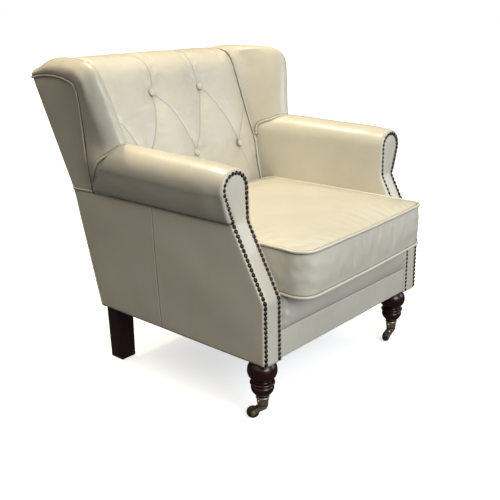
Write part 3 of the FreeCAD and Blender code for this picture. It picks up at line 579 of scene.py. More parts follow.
def rear_y(level):
    """The rear edge of the sides at a level."""
    levels = (BASE, 504, 780, 826, 860)
    return np.interp(level, levels, (616, 702, 836, 850, 856))


def wing_seam_y(level):
    """The sloping seam between arm and wing, in side view."""
    return 473 + (650 - level) / SEAM_RISE


def scroll_arc(swell, rise, lean, count):
    """The round of the arm scroll, from its outer side over its top to its inner side."""
    radius = SCROLL_RADIUS + swell
    x, z = SCROLL_X + lean, SCROLL_Z + rise
    turns = np.radians(np.linspace(-24, 180, count))
    return [(x + radius * math.cos(a), z + radius * math.sin(a)) for a in turns]


def roll_section(swell, rise, count, lean=0.0):
    """The arm roll in front view, from its underside seam over to the inside."""
    under = [
        (HALF + 0.5, NECK + 1),
        (358 + lean + 0.4 * swell, NECK + 9 + 0.2 * rise),
        (366.5 + lean + 0.8 * swell, 540 + 0.5 * rise),
    ]
    inner = [
        (ARM_INNER + 0.6 + lean - 0.75 * swell, 562),
        (ARM_INNER + lean - 0.5 * swell, 530),
        (ARM_INNER - 0.2 * swell, 480),
    ]
    inner += [(ARM_INNER, z) for z in (420, 340, 260, BASE - 1)]
    return curve(under + scroll_arc(swell, rise, lean, 13) + inner, count)


def inset_section(section, inset):
    """A front-view outline moved inwards, towards the middle of the facing."""
    way = np.gradient(section, axis=0)
    normal = np.stack((-way[:, 1], way[:, 0]), axis=1)
    normal /= np.linalg.norm(normal, axis=1, keepdims=True)
    return section + normal * inset


# rows of the leather that turns round the front edge: (inset, depth)
WRAP = [(11.0, 1.6), (8.5, 0.5), (6.0, 0.0), (3.6, 0.3), (1.7, 1.2), (0.5, 3.0),
        (0.0, 6.0), (0.0, 9.5)]
WRAP_DEPTH = WRAP[-1][1]
# painted shade on the hide between the nails, row by row
NAIL_SHADE = np.array((0.8, 0.8, 0.35))[:, None]


def wrap_rows(outline):
    rows = []
    for inset, depth in WRAP:
        inner = inset_section(outline, inset)
        y = front_y(inner[:, 1]) + depth
        rows.append(np.stack((inner[:, 0], y, inner[:, 1]), axis=1))
    return rows


def mirrored(grid, side):
    out = np.array(grid, float)
    out[..., 0] *= side
    return out


SIDES = ((-1, "left"), (1, "right"))

# ---------------------------------------------------------------- the arms

ARM_COLUMNS = 170


def arm_row(s):
    """The arm cover across the arm, s of the way from its front to the wing."""
    swell = 4.0 * soft_step(s / 0.12) + 1.0 * s
    plain = roll_section(swell, 9 * s, ARM_COLUMNS)
    inner = soft_step((330 - plain[:, 0]) / 30)
    inner = np.where(np.arange(ARM_COLUMNS) < ARM_COLUMNS * 0.12, 0, inner)
    # towards the wing the outer side closes in, and the inner side runs on
    closing = max(0.0, (s - 0.95) / 0.05)
    tuck = 1 - math.sqrt(max(0.0, 1 - closing**2))
    tucked = roll_section(swell - 21 * tuck, 9 * s, ARM_COLUMNS, -7 * tuck)
    section = tucked + (plain - tucked) * inner[:, None]
    x, z = section[:, 0], section[:, 1]
    start = front_y(z) + WRAP_DEPTH
    end = wing_seam_y(z) + 16
    end = end + (WING_PIPING_Y - end) * inner
    return np.stack((x, start + (end - start) * s, z), axis=1)


def arm_grid():
    rows = wrap_rows(roll_section(0, 0, ARM_COLUMNS))
    steps = np.concatenate((np.linspace(0.02, 0.95, 74), np.linspace(0.957, 1, 12)))
    rows += [arm_row(s) for s in steps]
    grid = np.stack(rows)
    fade = np.ones(grid.shape[:2])
    fade[: len(WRAP)] = 0
    fade[len(WRAP) :] *= soft_step(np.linspace(0, 9, len(steps)))[:, None]
    fade[-8:] *= np.linspace(1, 0, 8)[:, None]
    fade *= soft_step(np.linspace(0, 12, ARM_COLUMNS))[None, :]
    height = 0.7 * ripple(grid, 120, 11) + 0.25 * ripple(grid, 42, 12)
    return lift(grid, height * fade)


def arm_seam():
    """Where the wings stand on the arm rolls, found from their two skins."""
    wing = wing_grid()[0]
    faces = grid_faces(*wing.shape[:2])
    tree = BVHTree.FromPolygons(wing.reshape(-1, 3).tolist(), faces)
    rows = np.stack([arm_row(s) for s in np.linspace(0.6, 1, 100)])
    path = []
    for column in np.swapaxes(rows, 0, 1):
        for start, end in zip(column, column[1:]):
            way = Vector(end - start)
            hit = tree.ray_cast(Vector(start), way.normalized(), way.length)[0]
            if hit is not None:
                # lower down the two skins run side by side, so the points of the foot are
                # listed
                if hit.z > (626 if hit.x > 330 else 574):
                    path.append(np.array(hit))
                break
    foot = [(352, 607, 536), (364, 592, 553), (377, 570, 571), (383, 552, 590),
            (382, 536, 610)]
    path = even(np.array(foot + path), 30)
    smooth = (path[:-2] + path[1:-1] + path[2:]) / 3
    return curve(smooth, 170)


def by_arm_seam(grid, seam, reach):
    """The shadow beside the arm seam, by the distance of each point from it."""
    far = np.full(grid.shape[:2], 1e9)
    for spot in seam:
        far = np.minimum(far, np.linalg.norm(grid - spot, axis=2))
    return beside_cord(far, reach)


def make_arm_seams(seam):
    """The piping where the wings stand on the arm rolls."""
    away = seam - np.array((330, 0, 596))
    away[:, 1] = 0
    away /= np.linalg.norm(away, axis=1, keepdims=True)
    path = seam + 2.4 * away + np.array((0, -2.2, 0))
    for side, name in SIDES:
        piping(f"{name}_arm_seam_piping", mirrored(path, side), radius=3.7)


def make_arms(seam):
    grid = arm_grid()
    crease = np.zeros(grid.shape[:2])
    # painted shade: under the roll's underside seam, between the nails and beside the arm
    # seam
    crease[:, 0] = 0.9
    crease[:, 1] = 0.35
    crease[: len(NAIL_SHADE)] = NAIL_SHADE
    crease = np.maximum(crease, 0.75 * by_arm_seam(grid, seam, 8.5))
    for side, name in SIDES:
        arm = grid_piece(f"{name}_arm_cover", mirrored(grid, side))
        cover(arm, crease, f"{name}_arm_pad")


def panel_outline(count):
    """The outside arm panel in front view, from its turned-under foot upwards."""
    foot = [(332, 169.0), (341, 169.0), (346.6, 169.8), (349.3, 172.5)]
    rise = [(HALF, 178 + i * 36.6) for i in range(10)]
    return curve(foot + rise, count)


def panel_seam_y(level):
    """The upright seam of the outside arm panel."""
    return 371.5 + (level - 508) * (13.5 / 338)


def outside_arm_grid():
    columns = 74
    outline = panel_outline(columns)
    rows = wrap_rows(outline)
    x, z = outline[:, 0], outline[:, 1]
    start = front_y(z) + WRAP_DEPTH
    end = rear_y(np.maximum(z, BASE)) - 0.5
    middle = 0.5
    at_middle = panel_seam_y(z) - start - (end - start) * middle
    seam_rows = np.array((-9, -6, -4.2, -2.8, -1.8, -0.9, 0, 0.9, 1.8, 2.8, 4.2, 6, 9))
    stations = np.linspace(0.015, 0.985, 120)
    stations = stations[np.abs(stations - middle) > 0.016]
    stations = np.concatenate((stations, middle + seam_rows / 660, [0.992, 0.997, 1.0]))
    for s in np.sort(stations):
        y = start + (end - start) * s + at_middle * bell((s - middle) / 0.2)
        tall = np.clip((z - BASE) / (NECK - BASE), 0, 1)
        puff = 2.8 * (math.sin(math.pi * s) * np.sin(math.pi * tall)) ** 0.6
        round_off = 3.0 * max(0.0, (s - 0.985) / 0.015) ** 2
        rows.append(np.stack((x + puff - round_off, y, z), axis=1))
    grid = np.stack(rows)
    away = np.abs(grid[..., 1] - panel_seam_y(grid[..., 2]))
    fade = np.ones(grid.shape[:2])
    fade[: len(WRAP)] = 0
    fade[:, :8] *= soft_step(np.linspace(0, 1, 8))[None, :]
    fade[-10:] *= np.linspace(1, 0, 10)[:, None]
    height = 0.9 * ripple(grid, 210, 21) + 0.3 * ripple(grid, 70, 22)
    pucker = ripple(grid * np.array([1, 0.12, 1]), 17, 23)
    seam = bell(away / 1.8) * 1.5 - bell(away / 8) * 0.4
    height -= seam + pucker * 0.08 * bell(away / 10)
    # painted shade in the upright seam groove, between the nails and under the roll at the
    # top
    crease = 0.6 * bell(away / 1.6)
    crease[: len(NAIL_SHADE)] = NAIL_SHADE
    crease[:, -1] = 0.8
    crease[:, -2] = 0.3
    return lift(grid, height * fade), crease


def make_outside_arms():
    grid, crease = outside_arm_grid()
    for side, name in SIDES:
        panel = grid_piece(f"{name}_side_cover", mirrored(grid, side))
        cover(panel, crease, f"{name}_outside_arm")


def facing_outline():
    """The facing in front view, from its outer foot round the scroll and down."""
    rise = [(HALF, z) for z in (BASE - 1, 230, 290, 350, 410, 455, 490)]
    neck = [(HALF + 1.6, 505), (358, 516), (366, 540)]
    inner = [(ARM_INNER + 0.6, 562)]
    fall = [(ARM_INNER, z) for z in (530, 490, 455, 410, 350, 290, 230, BASE - 1)]
    return curve(rise + neck + scroll_arc(0, 0, 0, 14) + inner + fall, 240)


def make_facings():
    outline = facing_outline()
    z = outline[:, 1]
    ridge = 520 + (z - 520) * 0.25 + 28 * soft_step((z - 520) / 90)
    middle = np.stack((317 + 15 * soft_step((z - 520) / 60), np.minimum(z, ridge)), axis=1)
    start = inset_section(outline, 7.6)
    rows = []
    for f in np.concatenate(([0, 0.02, 0.06], np.linspace(0.12, 1, 12))):
        flat = start + (middle - start) * f
        pad = 0.6 - 3.2 * soft_step(f / 0.55)
        y = front_y(flat[:, 1]) + pad
        rows.append(np.stack((flat[:, 0], y, flat[:, 1]), axis=1))
    grid = np.stack(rows)
    grid[..., 1] += 0.25 * ripple(grid, 60, 31)
    for side, name in SIDES:
        faces = grid_faces(*grid.shape[:2])
        if side < 0:
            faces = [face[::-1] for face in faces]
        points = metres(mirrored(grid, side)).reshape(-1, 3)
        facing = new_piece(f"{name}_facing_cover", points, faces, LEATHER)
        mesh = bmesh.new()
        mesh.from_mesh(facing.data)
        bmesh.ops.remove_doubles(mesh, verts=mesh.verts, dist=0.0008)
        mesh.to_mesh(facing.data)
        mesh.free()
        facing.data.shade_smooth()
        front = np.abs(read(facing.data)[:, ::2] / MM)
        # painted shade along the nail row
        near_nails = distance(front, inset_section(outline, 8.5))[0]
        crease = 0.8 * bell(near_nails / 3.0)
        cover(facing, crease, f"{name}_facing")


# --------------------------------------------------------------- the wings

WING_SECTIONS = [
    # seam, inner face, inner nose, crest, outer nose, outer face, outer piping
    [(292, 561, 498), (295, 530, 498), (299, 496, 498), (315, 476, 498),
     (332, 490, 498), (345, 545, 498), (350, 612, 503)],
    [(278, 577, 578), (286, 545, 578), (294, 501, 580), (320, 472, 580),
     (358, 491, 580), (380, 546, 584), (364, 606, 583)],
    [(277, 605, 642), (291, 566, 645), (305, 514, 650), (335, 484, 650),
     (364, 513, 650), (370, 557, 648), (369, 604, 645)],
    [(277, 627, 702), (298, 590, 706), (319, 529, 718), (349, 499, 720),
     (379, 528, 720), (382, 562, 716), (377, 597, 708)],
    [(277, 646, 756), (303, 612, 764), (333, 543, 782), (363, 512, 785),
     (392, 541, 785), (391, 569, 780), (384, 594, 766)],
    [(277, 661, 799), (308, 632, 802), (342, 560, 822), (370, 530, 832),
     (394, 557, 816), (393, 582, 806), (386, 601, 795)],
    [(277, 671, 823), (308, 655, 829), (343, 592, 846), (366, 566, 852),
     (388, 586, 834), (389, 606, 819), (382, 621, 804)],
    [(277, 684, 837.5), (303, 676, 842), (333, 634, 854), (355, 620, 857),
     (377, 630, 842), (382, 640, 826), (377, 652, 810)],
    [(277, 702, 846.5), (297, 709, 852), (321, 696, 857), (342, 690, 857),
     (362, 696, 843), (369, 698, 829), (367, 700, 814)],
    [(277, 775, 850), (294, 774, 853), (313, 773, 855), (333, 772, 853),
     (351, 773, 840), (358, 773, 828), (356, 774, 814)],
    [(277, 848, 824), (294, 849, 827), (313, 850, 828), (331, 850, 827),
     (346, 850, 819), (350, 850, 812), (349, 851, 805)],
]


def wing_grid():
    grid = skin(WING_SECTIONS, 150, 96)
    u = np.linspace(0, 1, grid.shape[1])[None, :]
    v = np.linspace(0, 1, grid.shape[0])[:, None]
    inner = bell(u / 0.12)
    fade = soft_step(u / 0.05) * soft_step((1 - u) / 0.05) * np.ones_like(v)
    height = 0.9 * ripple(grid, 110, 41) + 0.35 * ripple(grid, 40, 42)
    # short gathers where the seam turns over the top of the back
    at_top = bell((v - 0.71) / 0.03)
    folds = np.sin(v * 215 + 8 * u) * at_top * bell(u / 0.16)
    height += 1.8 * folds * soft_step(u / 0.03)
    # the hide strains round the top front corner
    strain = np.sin(u * 46 + 9 * v) * bell((v - 0.47) / 0.06)
    height += 0.55 * strain * soft_step((u - 0.55) / 0.2)
    shaped = lift(grid, height * fade)
    steps = np.linalg.norm(np.diff(shaped, axis=1), axis=2)
    along = np.concatenate((np.zeros((len(grid), 1)), np.cumsum(steps, axis=1)), axis=1)
    from_rear = along[:, -1:] - along
    # painted shade beside the seam cord and the outer piping, and in the gathers
    crease = 0.8 * beside_cord(along) + 0.95 * beside_cord(from_rear, 7.0)
    crease = np.minimum(crease + 0.25 * np.clip(-folds, 0, 1) * inner, 0.95)
    return shaped, crease


def make_wings(seam):
    grid, crease = wing_grid()
    crease = np.maximum(crease, 0.75 * by_arm_seam(grid, seam, 7.0))
    piped = [section[-1] for section in WING_SECTIONS]
    outer = curve(piped, 160)
    for side, name in SIDES:
        wing = grid_piece(f"{name}_wing_cover", mirrored(grid, side))
        cover(wing, crease, f"{name}_wing_pad")
        cord = outer + np.array((1.0, 3.2, -0.8))
        piping(f"{name}_wing_piping", mirrored(cord[4:], side), radius=3.2)

    # the flat panel behind the outer piping
    count = 46
    left = curve(piped[:6], count)
    top = curve(piped[5:], count)
    heel = (HALF, 701, 503)
    bottom = np.linspace(left[0], heel, count)
    rear = even(np.array([heel, (352, 835, 780), top[-1]]), count)
    panel_grid = coons(bottom, top, left, rear)
    u = np.linspace(0, 1, count)
    v = u[:, None]
    inner = (np.sin(math.pi * u) * np.sin(math.pi * v)).clip(0) ** 0.4
    panel_grid = lift(panel_grid, (0.6 * ripple(panel_grid, 90, 45) + 1.0) * inner)
    edge = np.minimum(np.minimum(u, 1 - u), np.minimum(v, 1 - v))
    for side, name in SIDES:
        panel = grid_piece(f"{name}_wing_back_cover", mirrored(panel_grid, side))
        # painted shade round the panel's edges, beside the piping
        crease = 0.6 * bell(edge / 0.02)
        cover(panel, crease, f"{name}_outside_wing")
        foot = curve([(349, 606, 507), (350.5, 640, 507), (350, 702, 505)], 40)
        piping(f"{name}_wing_foot_piping", mirrored(foot, side))


# ---------------------------------------------------------------- the back

BACK_PROFILE = [
    (500, 352), (512, 400), (531, 487), (546, 574), (571, 636), (598, 694),
    (624, 750), (648, 798), (664, 822), (690, 842), (724, 850.5), (765, 850.5),
    (800, 847.5), (828, 840), (845, 829), (848, 821),
]
BACK_SEAM = [
    (524, 352), (538, 400), (560, 487), (575, 574), (600, 636), (621, 694),
    (641, 750), (660, 799), (672, 824), (690, 841.5), (716, 849), (768, 850),
    (800, 847), (827, 839.5), (843, 829), (847, 821),
]
BUTTONS = [(-193, 561, 569), (0, 561, 569), (193, 561, 569),
           (-96, 638, 750), (96, 638, 750)]
PLEATS = [
    # (depth at its start, depth at its end, points across and up)
    (7.0, 1.2, [(-96, 752), (-89, 785), (-85, 812), (-86, 832), (-88, 852), (-96, 880)]),
    (7.0, 1.2, [(96, 752), (87, 785), (90, 812), (93, 832), (98, 852), (110, 880)]),
    (6.0, 6.0, [(-94, 748), (-68, 723), (-50, 700), (-29, 652), (-13, 600), (0, 571)]),
    (6.0, 6.0, [(-97, 748), (-118, 690), (-146, 638), (-175, 598), (-193, 571)]),
    (6.0, 6.0, [(95, 748), (82, 728), (56, 686), (27, 631), (6, 592), (0, 571)]),
    (6.0, 6.0, [(97, 748), (112, 737), (127, 714), (141, 688), (163, 643), (193, 571)]),
    (6.0, 1.5, [(-193, 571), (-208, 607), (-230, 664), (-254, 692), (-280, 712)]),
    (6.0, 2.0, [(193, 571), (210, 607), (240, 641), (266, 668), (280, 680)]),
    (3.0, 0.0, [(193, 566), (198, 545), (207, 499), (214, 470)]),
    (2.5, 0.0, [(-193, 566), (-198, 545), (-206, 505)]),
    (2.5, 0.0, [(0, 566), (3, 545), (2, 515)]),
]


def back_grid(rows, columns):
    """The inside back: a crowned pad whose sides roll in to the wing seams."""
    front = curve(BACK_PROFILE, rows)
    seam = curve(BACK_SEAM, rows)
    u = np.linspace(-1, 1, columns)
    u = np.sin(u * math.pi / 2 * 0.55) / math.sin(math.pi / 2 * 0.55)
    crown = np.clip(1 - np.abs(u) ** 3.4, 0, 1) ** 0.9
    across = seam[:, None] + (front - seam)[:, None] * crown[None, :, None]
    return spread(BACK_HALF * u, across[..., 0], across[..., 1])


def unrolled(points):
    """Positions on the pad as (across, up), with up measured as a level."""
    x, y, level = np.moveaxis(points, -1, 0)
    crest_y, crest_level = 690, 848
    over = (y > crest_y) & (level > 800)
    level = np.where(over, crest_level + (y - crest_y), level)
    return np.stack((x, level), axis=-1)


def min_distance_to_buttons(flat):
    spots = [np.array((x, level)) for x, _, level in BUTTONS]
    return np.min([np.linalg.norm(flat - spot, axis=-1) for spot in spots], axis=0)


def pleat_shape(points):
    """How far the hide is drawn in, and the painted shade along the fold."""
    flat = unrolled(points)
    drawn = np.zeros(flat.shape[:-1])
    dark = np.zeros(flat.shape[:-1])
    for first, last, line in PLEATS:
        path = curve(line, 40)
        far, side = distance(flat, path)
        lengths = np.linspace(first, last, len(path) - 1)
        depth = np.interp(flat[..., 1], *zip(*sorted(zip(path[:-1, 1], lengths))))
        ends = np.linalg.norm(flat - path[-1], axis=-1)
        fade = soft_step(ends / 22) if last < 2.5 else 1.0
        # the fold's upper side laps over its lower side
        open_side = np.exp(-far / 24.0)
        shut_side = np.exp(-((far / 3.0) ** 1.3))
        valley = np.where(side > 0, shut_side, open_side)
        # the folds are deepest at the buttons
        near = min_distance_to_buttons(flat)
        depth = depth * (0.62 + 0.38 * np.exp(-near / 30.0))
        drawn = np.maximum(drawn, depth * valley * fade * 0.9)
        # painted shade: a dark line along each fold
        line_width = 1.15 + 0.06 * depth
        shade = bell(far / line_width) * fade * soft_step(depth / 1.2)
        dark = np.maximum(dark, shade)
    return drawn, dark


def make_back():
    rows, columns = 104, 86
    grid = back_grid(rows, columns)
    flat = unrolled(grid)
    dimple = np.zeros((rows, columns))
    held = np.zeros((rows, columns), bool)
    held[:, 0] = held[:, -1] = held[0] = held[-1] = True
    for x, _, level in BUTTONS:
        across, up = flat[..., 0] - x, flat[..., 1] - level
        depth = 13.0 if level > 600 else 15.5
        far = np.hypot(across, up * 1.05)
        dimple = np.maximum(dimple, depth * np.exp(-((far / 27.0) ** 1.35)))
        held |= np.hypot(across, up) < 14
    for _, _, line in PLEATS[:8]:
        held |= distance(flat, curve(line, 40))[0] < 5
    shaped = lift(grid, -dimple, BEHIND)
    pad = grid_piece("inside_back_cover", shaped, BEHIND)
    inflate(pad, held.ravel(), 3.0, 6.0, slack=0.007)
    subdivide(pad, 2)
    points = chair_points(pad)
    drawn, dark = pleat_shape(points)
    normals = read(pad.data, "normal")
    even_out = 0.5 * ripple(points, 90, 51) + 0.3 * ripple(points, 36, 52)
    edge = soft_step((BACK_HALF - np.abs(points[:, 0])) / 12)
    points += normals * ((even_out - drawn) * edge)[:, None]
    write_points(pad, metres(points))
    # painted shade in the pleats and beside the wing seams
    seam = beside_cord(BACK_HALF - np.abs(points[:, 0]), 6.2)
    crease = np.maximum(0.5 * dark, 0.75 * seam)
    cover(pad, crease, "inside_back")

    seam = curve(BACK_SEAM, 150)
    for side, name in SIDES:
        path = np.insert(seam, 0, side * (BACK_HALF + 0.6), axis=1)
        path = path + np.array((0, -3.2, 1.6))
        piping(f"{name}_back_seam_piping", path, radius=3.4)
    rear = curve([(-345, 850, 812), (-312, 852, 826), (-277, 850, 825), (0, 850, 825),
                  (277, 850, 825), (312, 852, 826), (345, 850, 812)], 160)
    piping("back_top_piping", rear)


def make_buttons():
    """Buttons covered in the same hide, drawn tight at their rims."""
    vertices, faces, dark = [], [], []
    profile = [(0.2, 7.6), (3.0, 7.4), (6.0, 6.6), (8.6, 5.2), (10.4, 3.4),
               (11.3, 1.4), (11.3, -0.6), (10.2, -2.2), (8.0, -3.0), (0.2, -3.0)]
    profile = curve(profile, 22)
    steps = 40
    tilt = math.radians(27)
    out = np.array((0, -math.cos(tilt), math.sin(tilt)))
    up = np.array((0, math.sin(tilt), math.cos(tilt)))
    across = np.array((1.0, 0, 0))
    for index, (x, y, z) in enumerate(BUTTONS):
        start = len(vertices)
        for radius, height in profile:
            for a in np.linspace(0, 2 * math.pi, steps, endpoint=False):
                pull = 0.18 * math.sin(13 * a + index) * (radius > 9)
                spot = np.array((x, y, z)) + out * (height + 1.5)
                spot = spot + (radius + pull) * (math.cos(a) * across + math.sin(a) * up)
                vertices.append(spot)
                # painted shade on the underside, where the button sits in its dimple
                dark.append(0.55 if height < 0.5 else 0)
        faces += grid_faces(len(profile), steps, False, True, start)
        faces += caps(len(profile), steps, start)
    buttons = new_piece("covered_buttons", metres(vertices), faces, LEATHER)
    set_painted_shade(buttons, np.array(dark))
    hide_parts("back_buttons")


def make_outside_back():
    levels = np.concatenate((
        [168.6, 169.0, 170.5], np.linspace(176, 800, 90), [810, 818, 823]))
    # the hide bridges the bend in the frame softly
    depths = np.mean([rear_y(levels + step) for step in range(-36, 37, 6)], axis=0) + 0.4
    depths[0] -= 14
    depths[1] -= 4
    depths[2] -= 1
    u = np.linspace(-1, 1, 72)
    grid = spread(347.5 * u, depths[:, None], levels[:, None])
    tall = np.clip((levels - BASE) / 655, 0, 1)[:, None]
    puff = (np.clip(1 - u**4, 0, 1) * np.sin(math.pi * tall)) ** 0.5 * 3.5
    uneven = 0.8 * ripple(grid, 190, 61) + 0.25 * ripple(grid, 60, 62)
    grid[..., 1] += puff + uneven * puff / 3.5
    panel = grid_piece("outside_back_cover", grid)
    edge = 1 - np.abs(u) + 0 * tall
    # painted shade along both side edges, beside the rear piping
    crease = 0.6 * bell(edge / 0.006)
    cover(panel, crease, "outside_back")
    for side, name in SIDES:
        line = [(side * 348, rear_y(z) - 0.5, z) for z in (171, 240, 330, 420, 504)]
        line += [(side * 347.5, rear_y(z) - 0.5, z) for z in (600, 700, 780)]
        line.append((side * 346, 850, 811))
        piping(f"{name}_rear_piping", curve(line, 200), radius=2.6)


# ----------------------------------------------------- borders and cushion


def make_borders():
    upper = [(10, 244), (4.5, 243.6), (1.5, 246), (-3.0, 254), (-7.0, 270), (-8.8, 288),
             (-7.8, 306), (-3.0, 322), (3.5, 331), (12, 334), (30, 334.5), (60, 333)]
    lower = [(22, 169), (10, 168.9), (5.0, 170.0), (3.2, 173.5), (2.9, 184), (2.4, 206),
             (2.8, 228), (3.4, 240), (5, 243.5), (10, 245.5)]
    for name, profile, seed in (("upper", upper, 71), ("lower", lower, 72)):
        section = curve(profile, 46)
        x = np.linspace(-ARM_INNER + 0.3, ARM_INNER - 0.3, 190)
        grid = spread(x, section[:, :1], section[:, 1:])
        ends = ARM_INNER - np.abs(grid[..., 0])
        round_end = np.exp(-((ends / 6.5) ** 2.6))
        wavy = 0.55 * ripple(grid, 110, seed) + 0.2 * ripple(grid, 38, seed + 5)
        if name == "upper":
            tall = np.sin(math.pi * np.clip((grid[..., 2] - 246) / 84, 0, 1))
            grid[..., 1] += np.maximum(10 - grid[..., 1], 0) * round_end
            fold = np.sin(grid[..., 2] / 4.6 + 0.12 * ends + 1.0)
            gathers = fold * bell(ends / 24.0) * tall
            grid[..., 1] -= 1.6 * gathers
        grid[..., 1] += wavy * soft_step(ends / 20)
        # painted shade in the seam under the upper border's overhang
        dark = bell((grid[..., 2] - 243.6) / 1.5) * (grid[..., 1] < 12)
        piece = grid_piece(f"front_border_{name}_cover", grid)
        cover(piece, 0.7 * dark, f"front_border_{name}")


CUSHION_LOW, CUSHION_HIGH = 338.0, 450.0  # levels of its two cords
CUSHION_HALF, CUSHION_FRONT, CUSHION_REAR = 279, -60, 507.0


def cushion_route(grow, level, count):
    """The cushion's seam in plan, from its middle front, anticlockwise."""
    half, front, rear = CUSHION_HALF + grow, CUSHION_FRONT - grow, CUSHION_REAR + grow
    points = []
    corners = (
        (half - 36, front + 36, 36, -90),
        (half - 25, rear - 25, 25, 0),
        (-half + 25, rear - 25, 25, 90),
        (-half + 46, front + 46, 46, 180),
    )
    for x, y, radius, start in corners:
        for a in np.radians(np.linspace(start, start + 90, 24)):
            points.append((x + radius * math.cos(a), y + radius * math.sin(a)))
    points = [(0, front)] + points
    loop = even(np.array(points + [points[0]], float), count, True)
    # the front bows out at its middle, and its left corner stands a little further out
    x, y = loop[:, 0], loop[:, 1].copy()
    ahead = soft_step((200 - y) / 260)
    bow = np.clip(1 - (x / 240) ** 2, 0, 1)
    loop[:, 1] += ahead * (10.5 * x / CUSHION_HALF - 4.0 * bow)
    return np.insert(loop, 2, level, axis=1)


def make_cushion():
    sides = 84
    loop = cushion_route(0, 0, 4 * sides)
    # turned so that the four edges of the panels start in the corners
    start = int(np.argmin(np.hypot(loop[:, 0] + CUSHION_HALF, loop[:, 1] + 75)))
    loop = np.roll(loop, -start, axis=0)
    ring = np.vstack((loop, loop[:1]))
    bottom = ring[: sides + 1]
    right = ring[sides : 2 * sides + 1]
    top = ring[2 * sides : 3 * sides + 1][::-1]
    left = ring[3 * sides :][::-1]
    panel = coons(bottom, top, left, right)
    n = sides + 1
    a = np.linspace(-1, 1, n)
    dome = (1 - a[None, :] ** 4) * (1 - a[:, None] ** 4)
    upper = panel.copy()
    upper[..., 2] = CUSHION_HIGH + 14.0 * dome**0.75
    lower = panel.copy()
    lower[..., 2] = CUSHION_LOW - 4.5 * dome**0.5
    strips = []
    count = 15
    way = np.roll(loop, -1, 0) - np.roll(loop, 1, 0)
    way /= np.linalg.norm(way, axis=1, keepdims=True)
    out = np.stack((way[:, 1], -way[:, 0], 0 * way[:, 0]), axis=1)
    for k in range(1, count):
        t = k / count
        belly = 3.5 * math.sin(math.pi * t) ** 0.6
        line = loop + out * belly
        line[:, 2] = CUSHION_LOW + (CUSHION_HIGH - CUSHION_LOW) * t
        strips.append(line)
    vertices = np.vstack([part.reshape(-1, 3) for part in (upper, lower, np.stack(strips))])
    faces = grid_faces(n, n)
    faces += [face[::-1] for face in grid_faces(n, n, start=n * n)]

    index = np.arange(n * n).reshape(n, n)
    rim = (index[0, :-1], index[:-1, -1], index[-1, :0:-1], index[:0:-1, 0])
    rim = np.concatenate(rim)
    rings = [2 * n * n + k * len(loop) + np.arange(len(loop)) for k in range(count - 1)]
    rings = [rim + n * n, *rings, rim]
    for low, high in zip(rings, rings[1:]):
        band = (low, np.roll(low, -1), np.roll(high, -1), high)
        faces += np.stack(band, axis=1).tolist()
    cushion = new_piece(
        "seat_cushion_cover", metres(vertices), faces, LEATHER, body="seat_cushion"
    )
    held = np.zeros(len(vertices), bool)
    held[rings[0]] = True
    held[rim] = True
    inflate(cushion, held, 3.5, 11.0, slack=0.005)
    subdivide(cushion, 1)
    points = chair_points(cushion)
    normals = read(cushion.data, "normal")
    level = points[:, 2]
    near_seam = np.minimum(np.abs(level - CUSHION_LOW), np.abs(level - CUSHION_HIGH))
    soft = soft_step(near_seam / 8)
    uneven = 0.9 * ripple(points, 130, 81) + 0.3 * ripple(points, 45, 82)
    on_side = (level > CUSHION_LOW + 3) & (level < CUSHION_HIGH - 3)
    from_corner = np.hypot(np.abs(points[:, 0]) - 262, points[:, 1] + 45)
    corner = bell(from_corner / 60)
    creases = np.sin(level / 6.5 + points[:, 0] / 40) * corner * on_side
    points += normals * ((uneven + 0.5 * creases) * soft)[:, None]
    write_points(cushion, metres(points))
    outline = distance(points[:, :2], cushion_route(0, 0, 300)[:, :2])[0]
    # painted shade beside the two cords
    set_painted_shade(cushion, 0.75 * beside_cord(np.hypot(near_seam, outline)))
    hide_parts("seat_cushion")

    for name, level in (("lower", CUSHION_LOW), ("upper", CUSHION_HIGH)):
        route = cushion_route(2.2, level, 420)
        cord = piping(f"cushion_{name}_piping", route, True, 3.8, body="seat_cushion")
        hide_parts("cushion_piping")


# --------------------------------------------------------- legs and castors

LEG_PROFILE = [
    (13.8, 36), (15.2, 60), (15.4, 62), (16.6, 64), (19.4, 67), (23.4, 71.5), (26.8, 76.5),
    (29.0, 82), (29.6, 86), (28.6, 90), (26.4, 92.6), (25.2, 93.6), (25.4, 94.8),
    (28.6, 95.6), (31.2, 97.2), (32.1, 99.5), (31.2, 101.8), (28.2, 103.4), (24.2, 104.4),
    (23.0, 106.2), (23.8, 108.6), (27.6, 111.2), (32.2, 115.2), (36.0, 121.5),
    (38.0, 130), (37.8, 138), (35.6, 146), (31.6, 152), (28.8, 156), (27.6, 161),
    (27.8, 166), (28.4, 169.8),
]
CUP_PROFILE = [
    (5.0, 32.2), (11.8, 32.1), (13.4, 32.6), (13.9, 34.0), (13.6, 35.2), (13.9, 38),
    (15.4, 50), (16.2, 55.6), (16.9, 56.4), (17.4, 57.4), (17.4, 58.9), (16.8, 59.8),
    (15.6, 60.1), (15.3, 59.0),
]

SQUARE_LEVELS = (0.2, 3, 20, 80, 140, 165, 169.6)


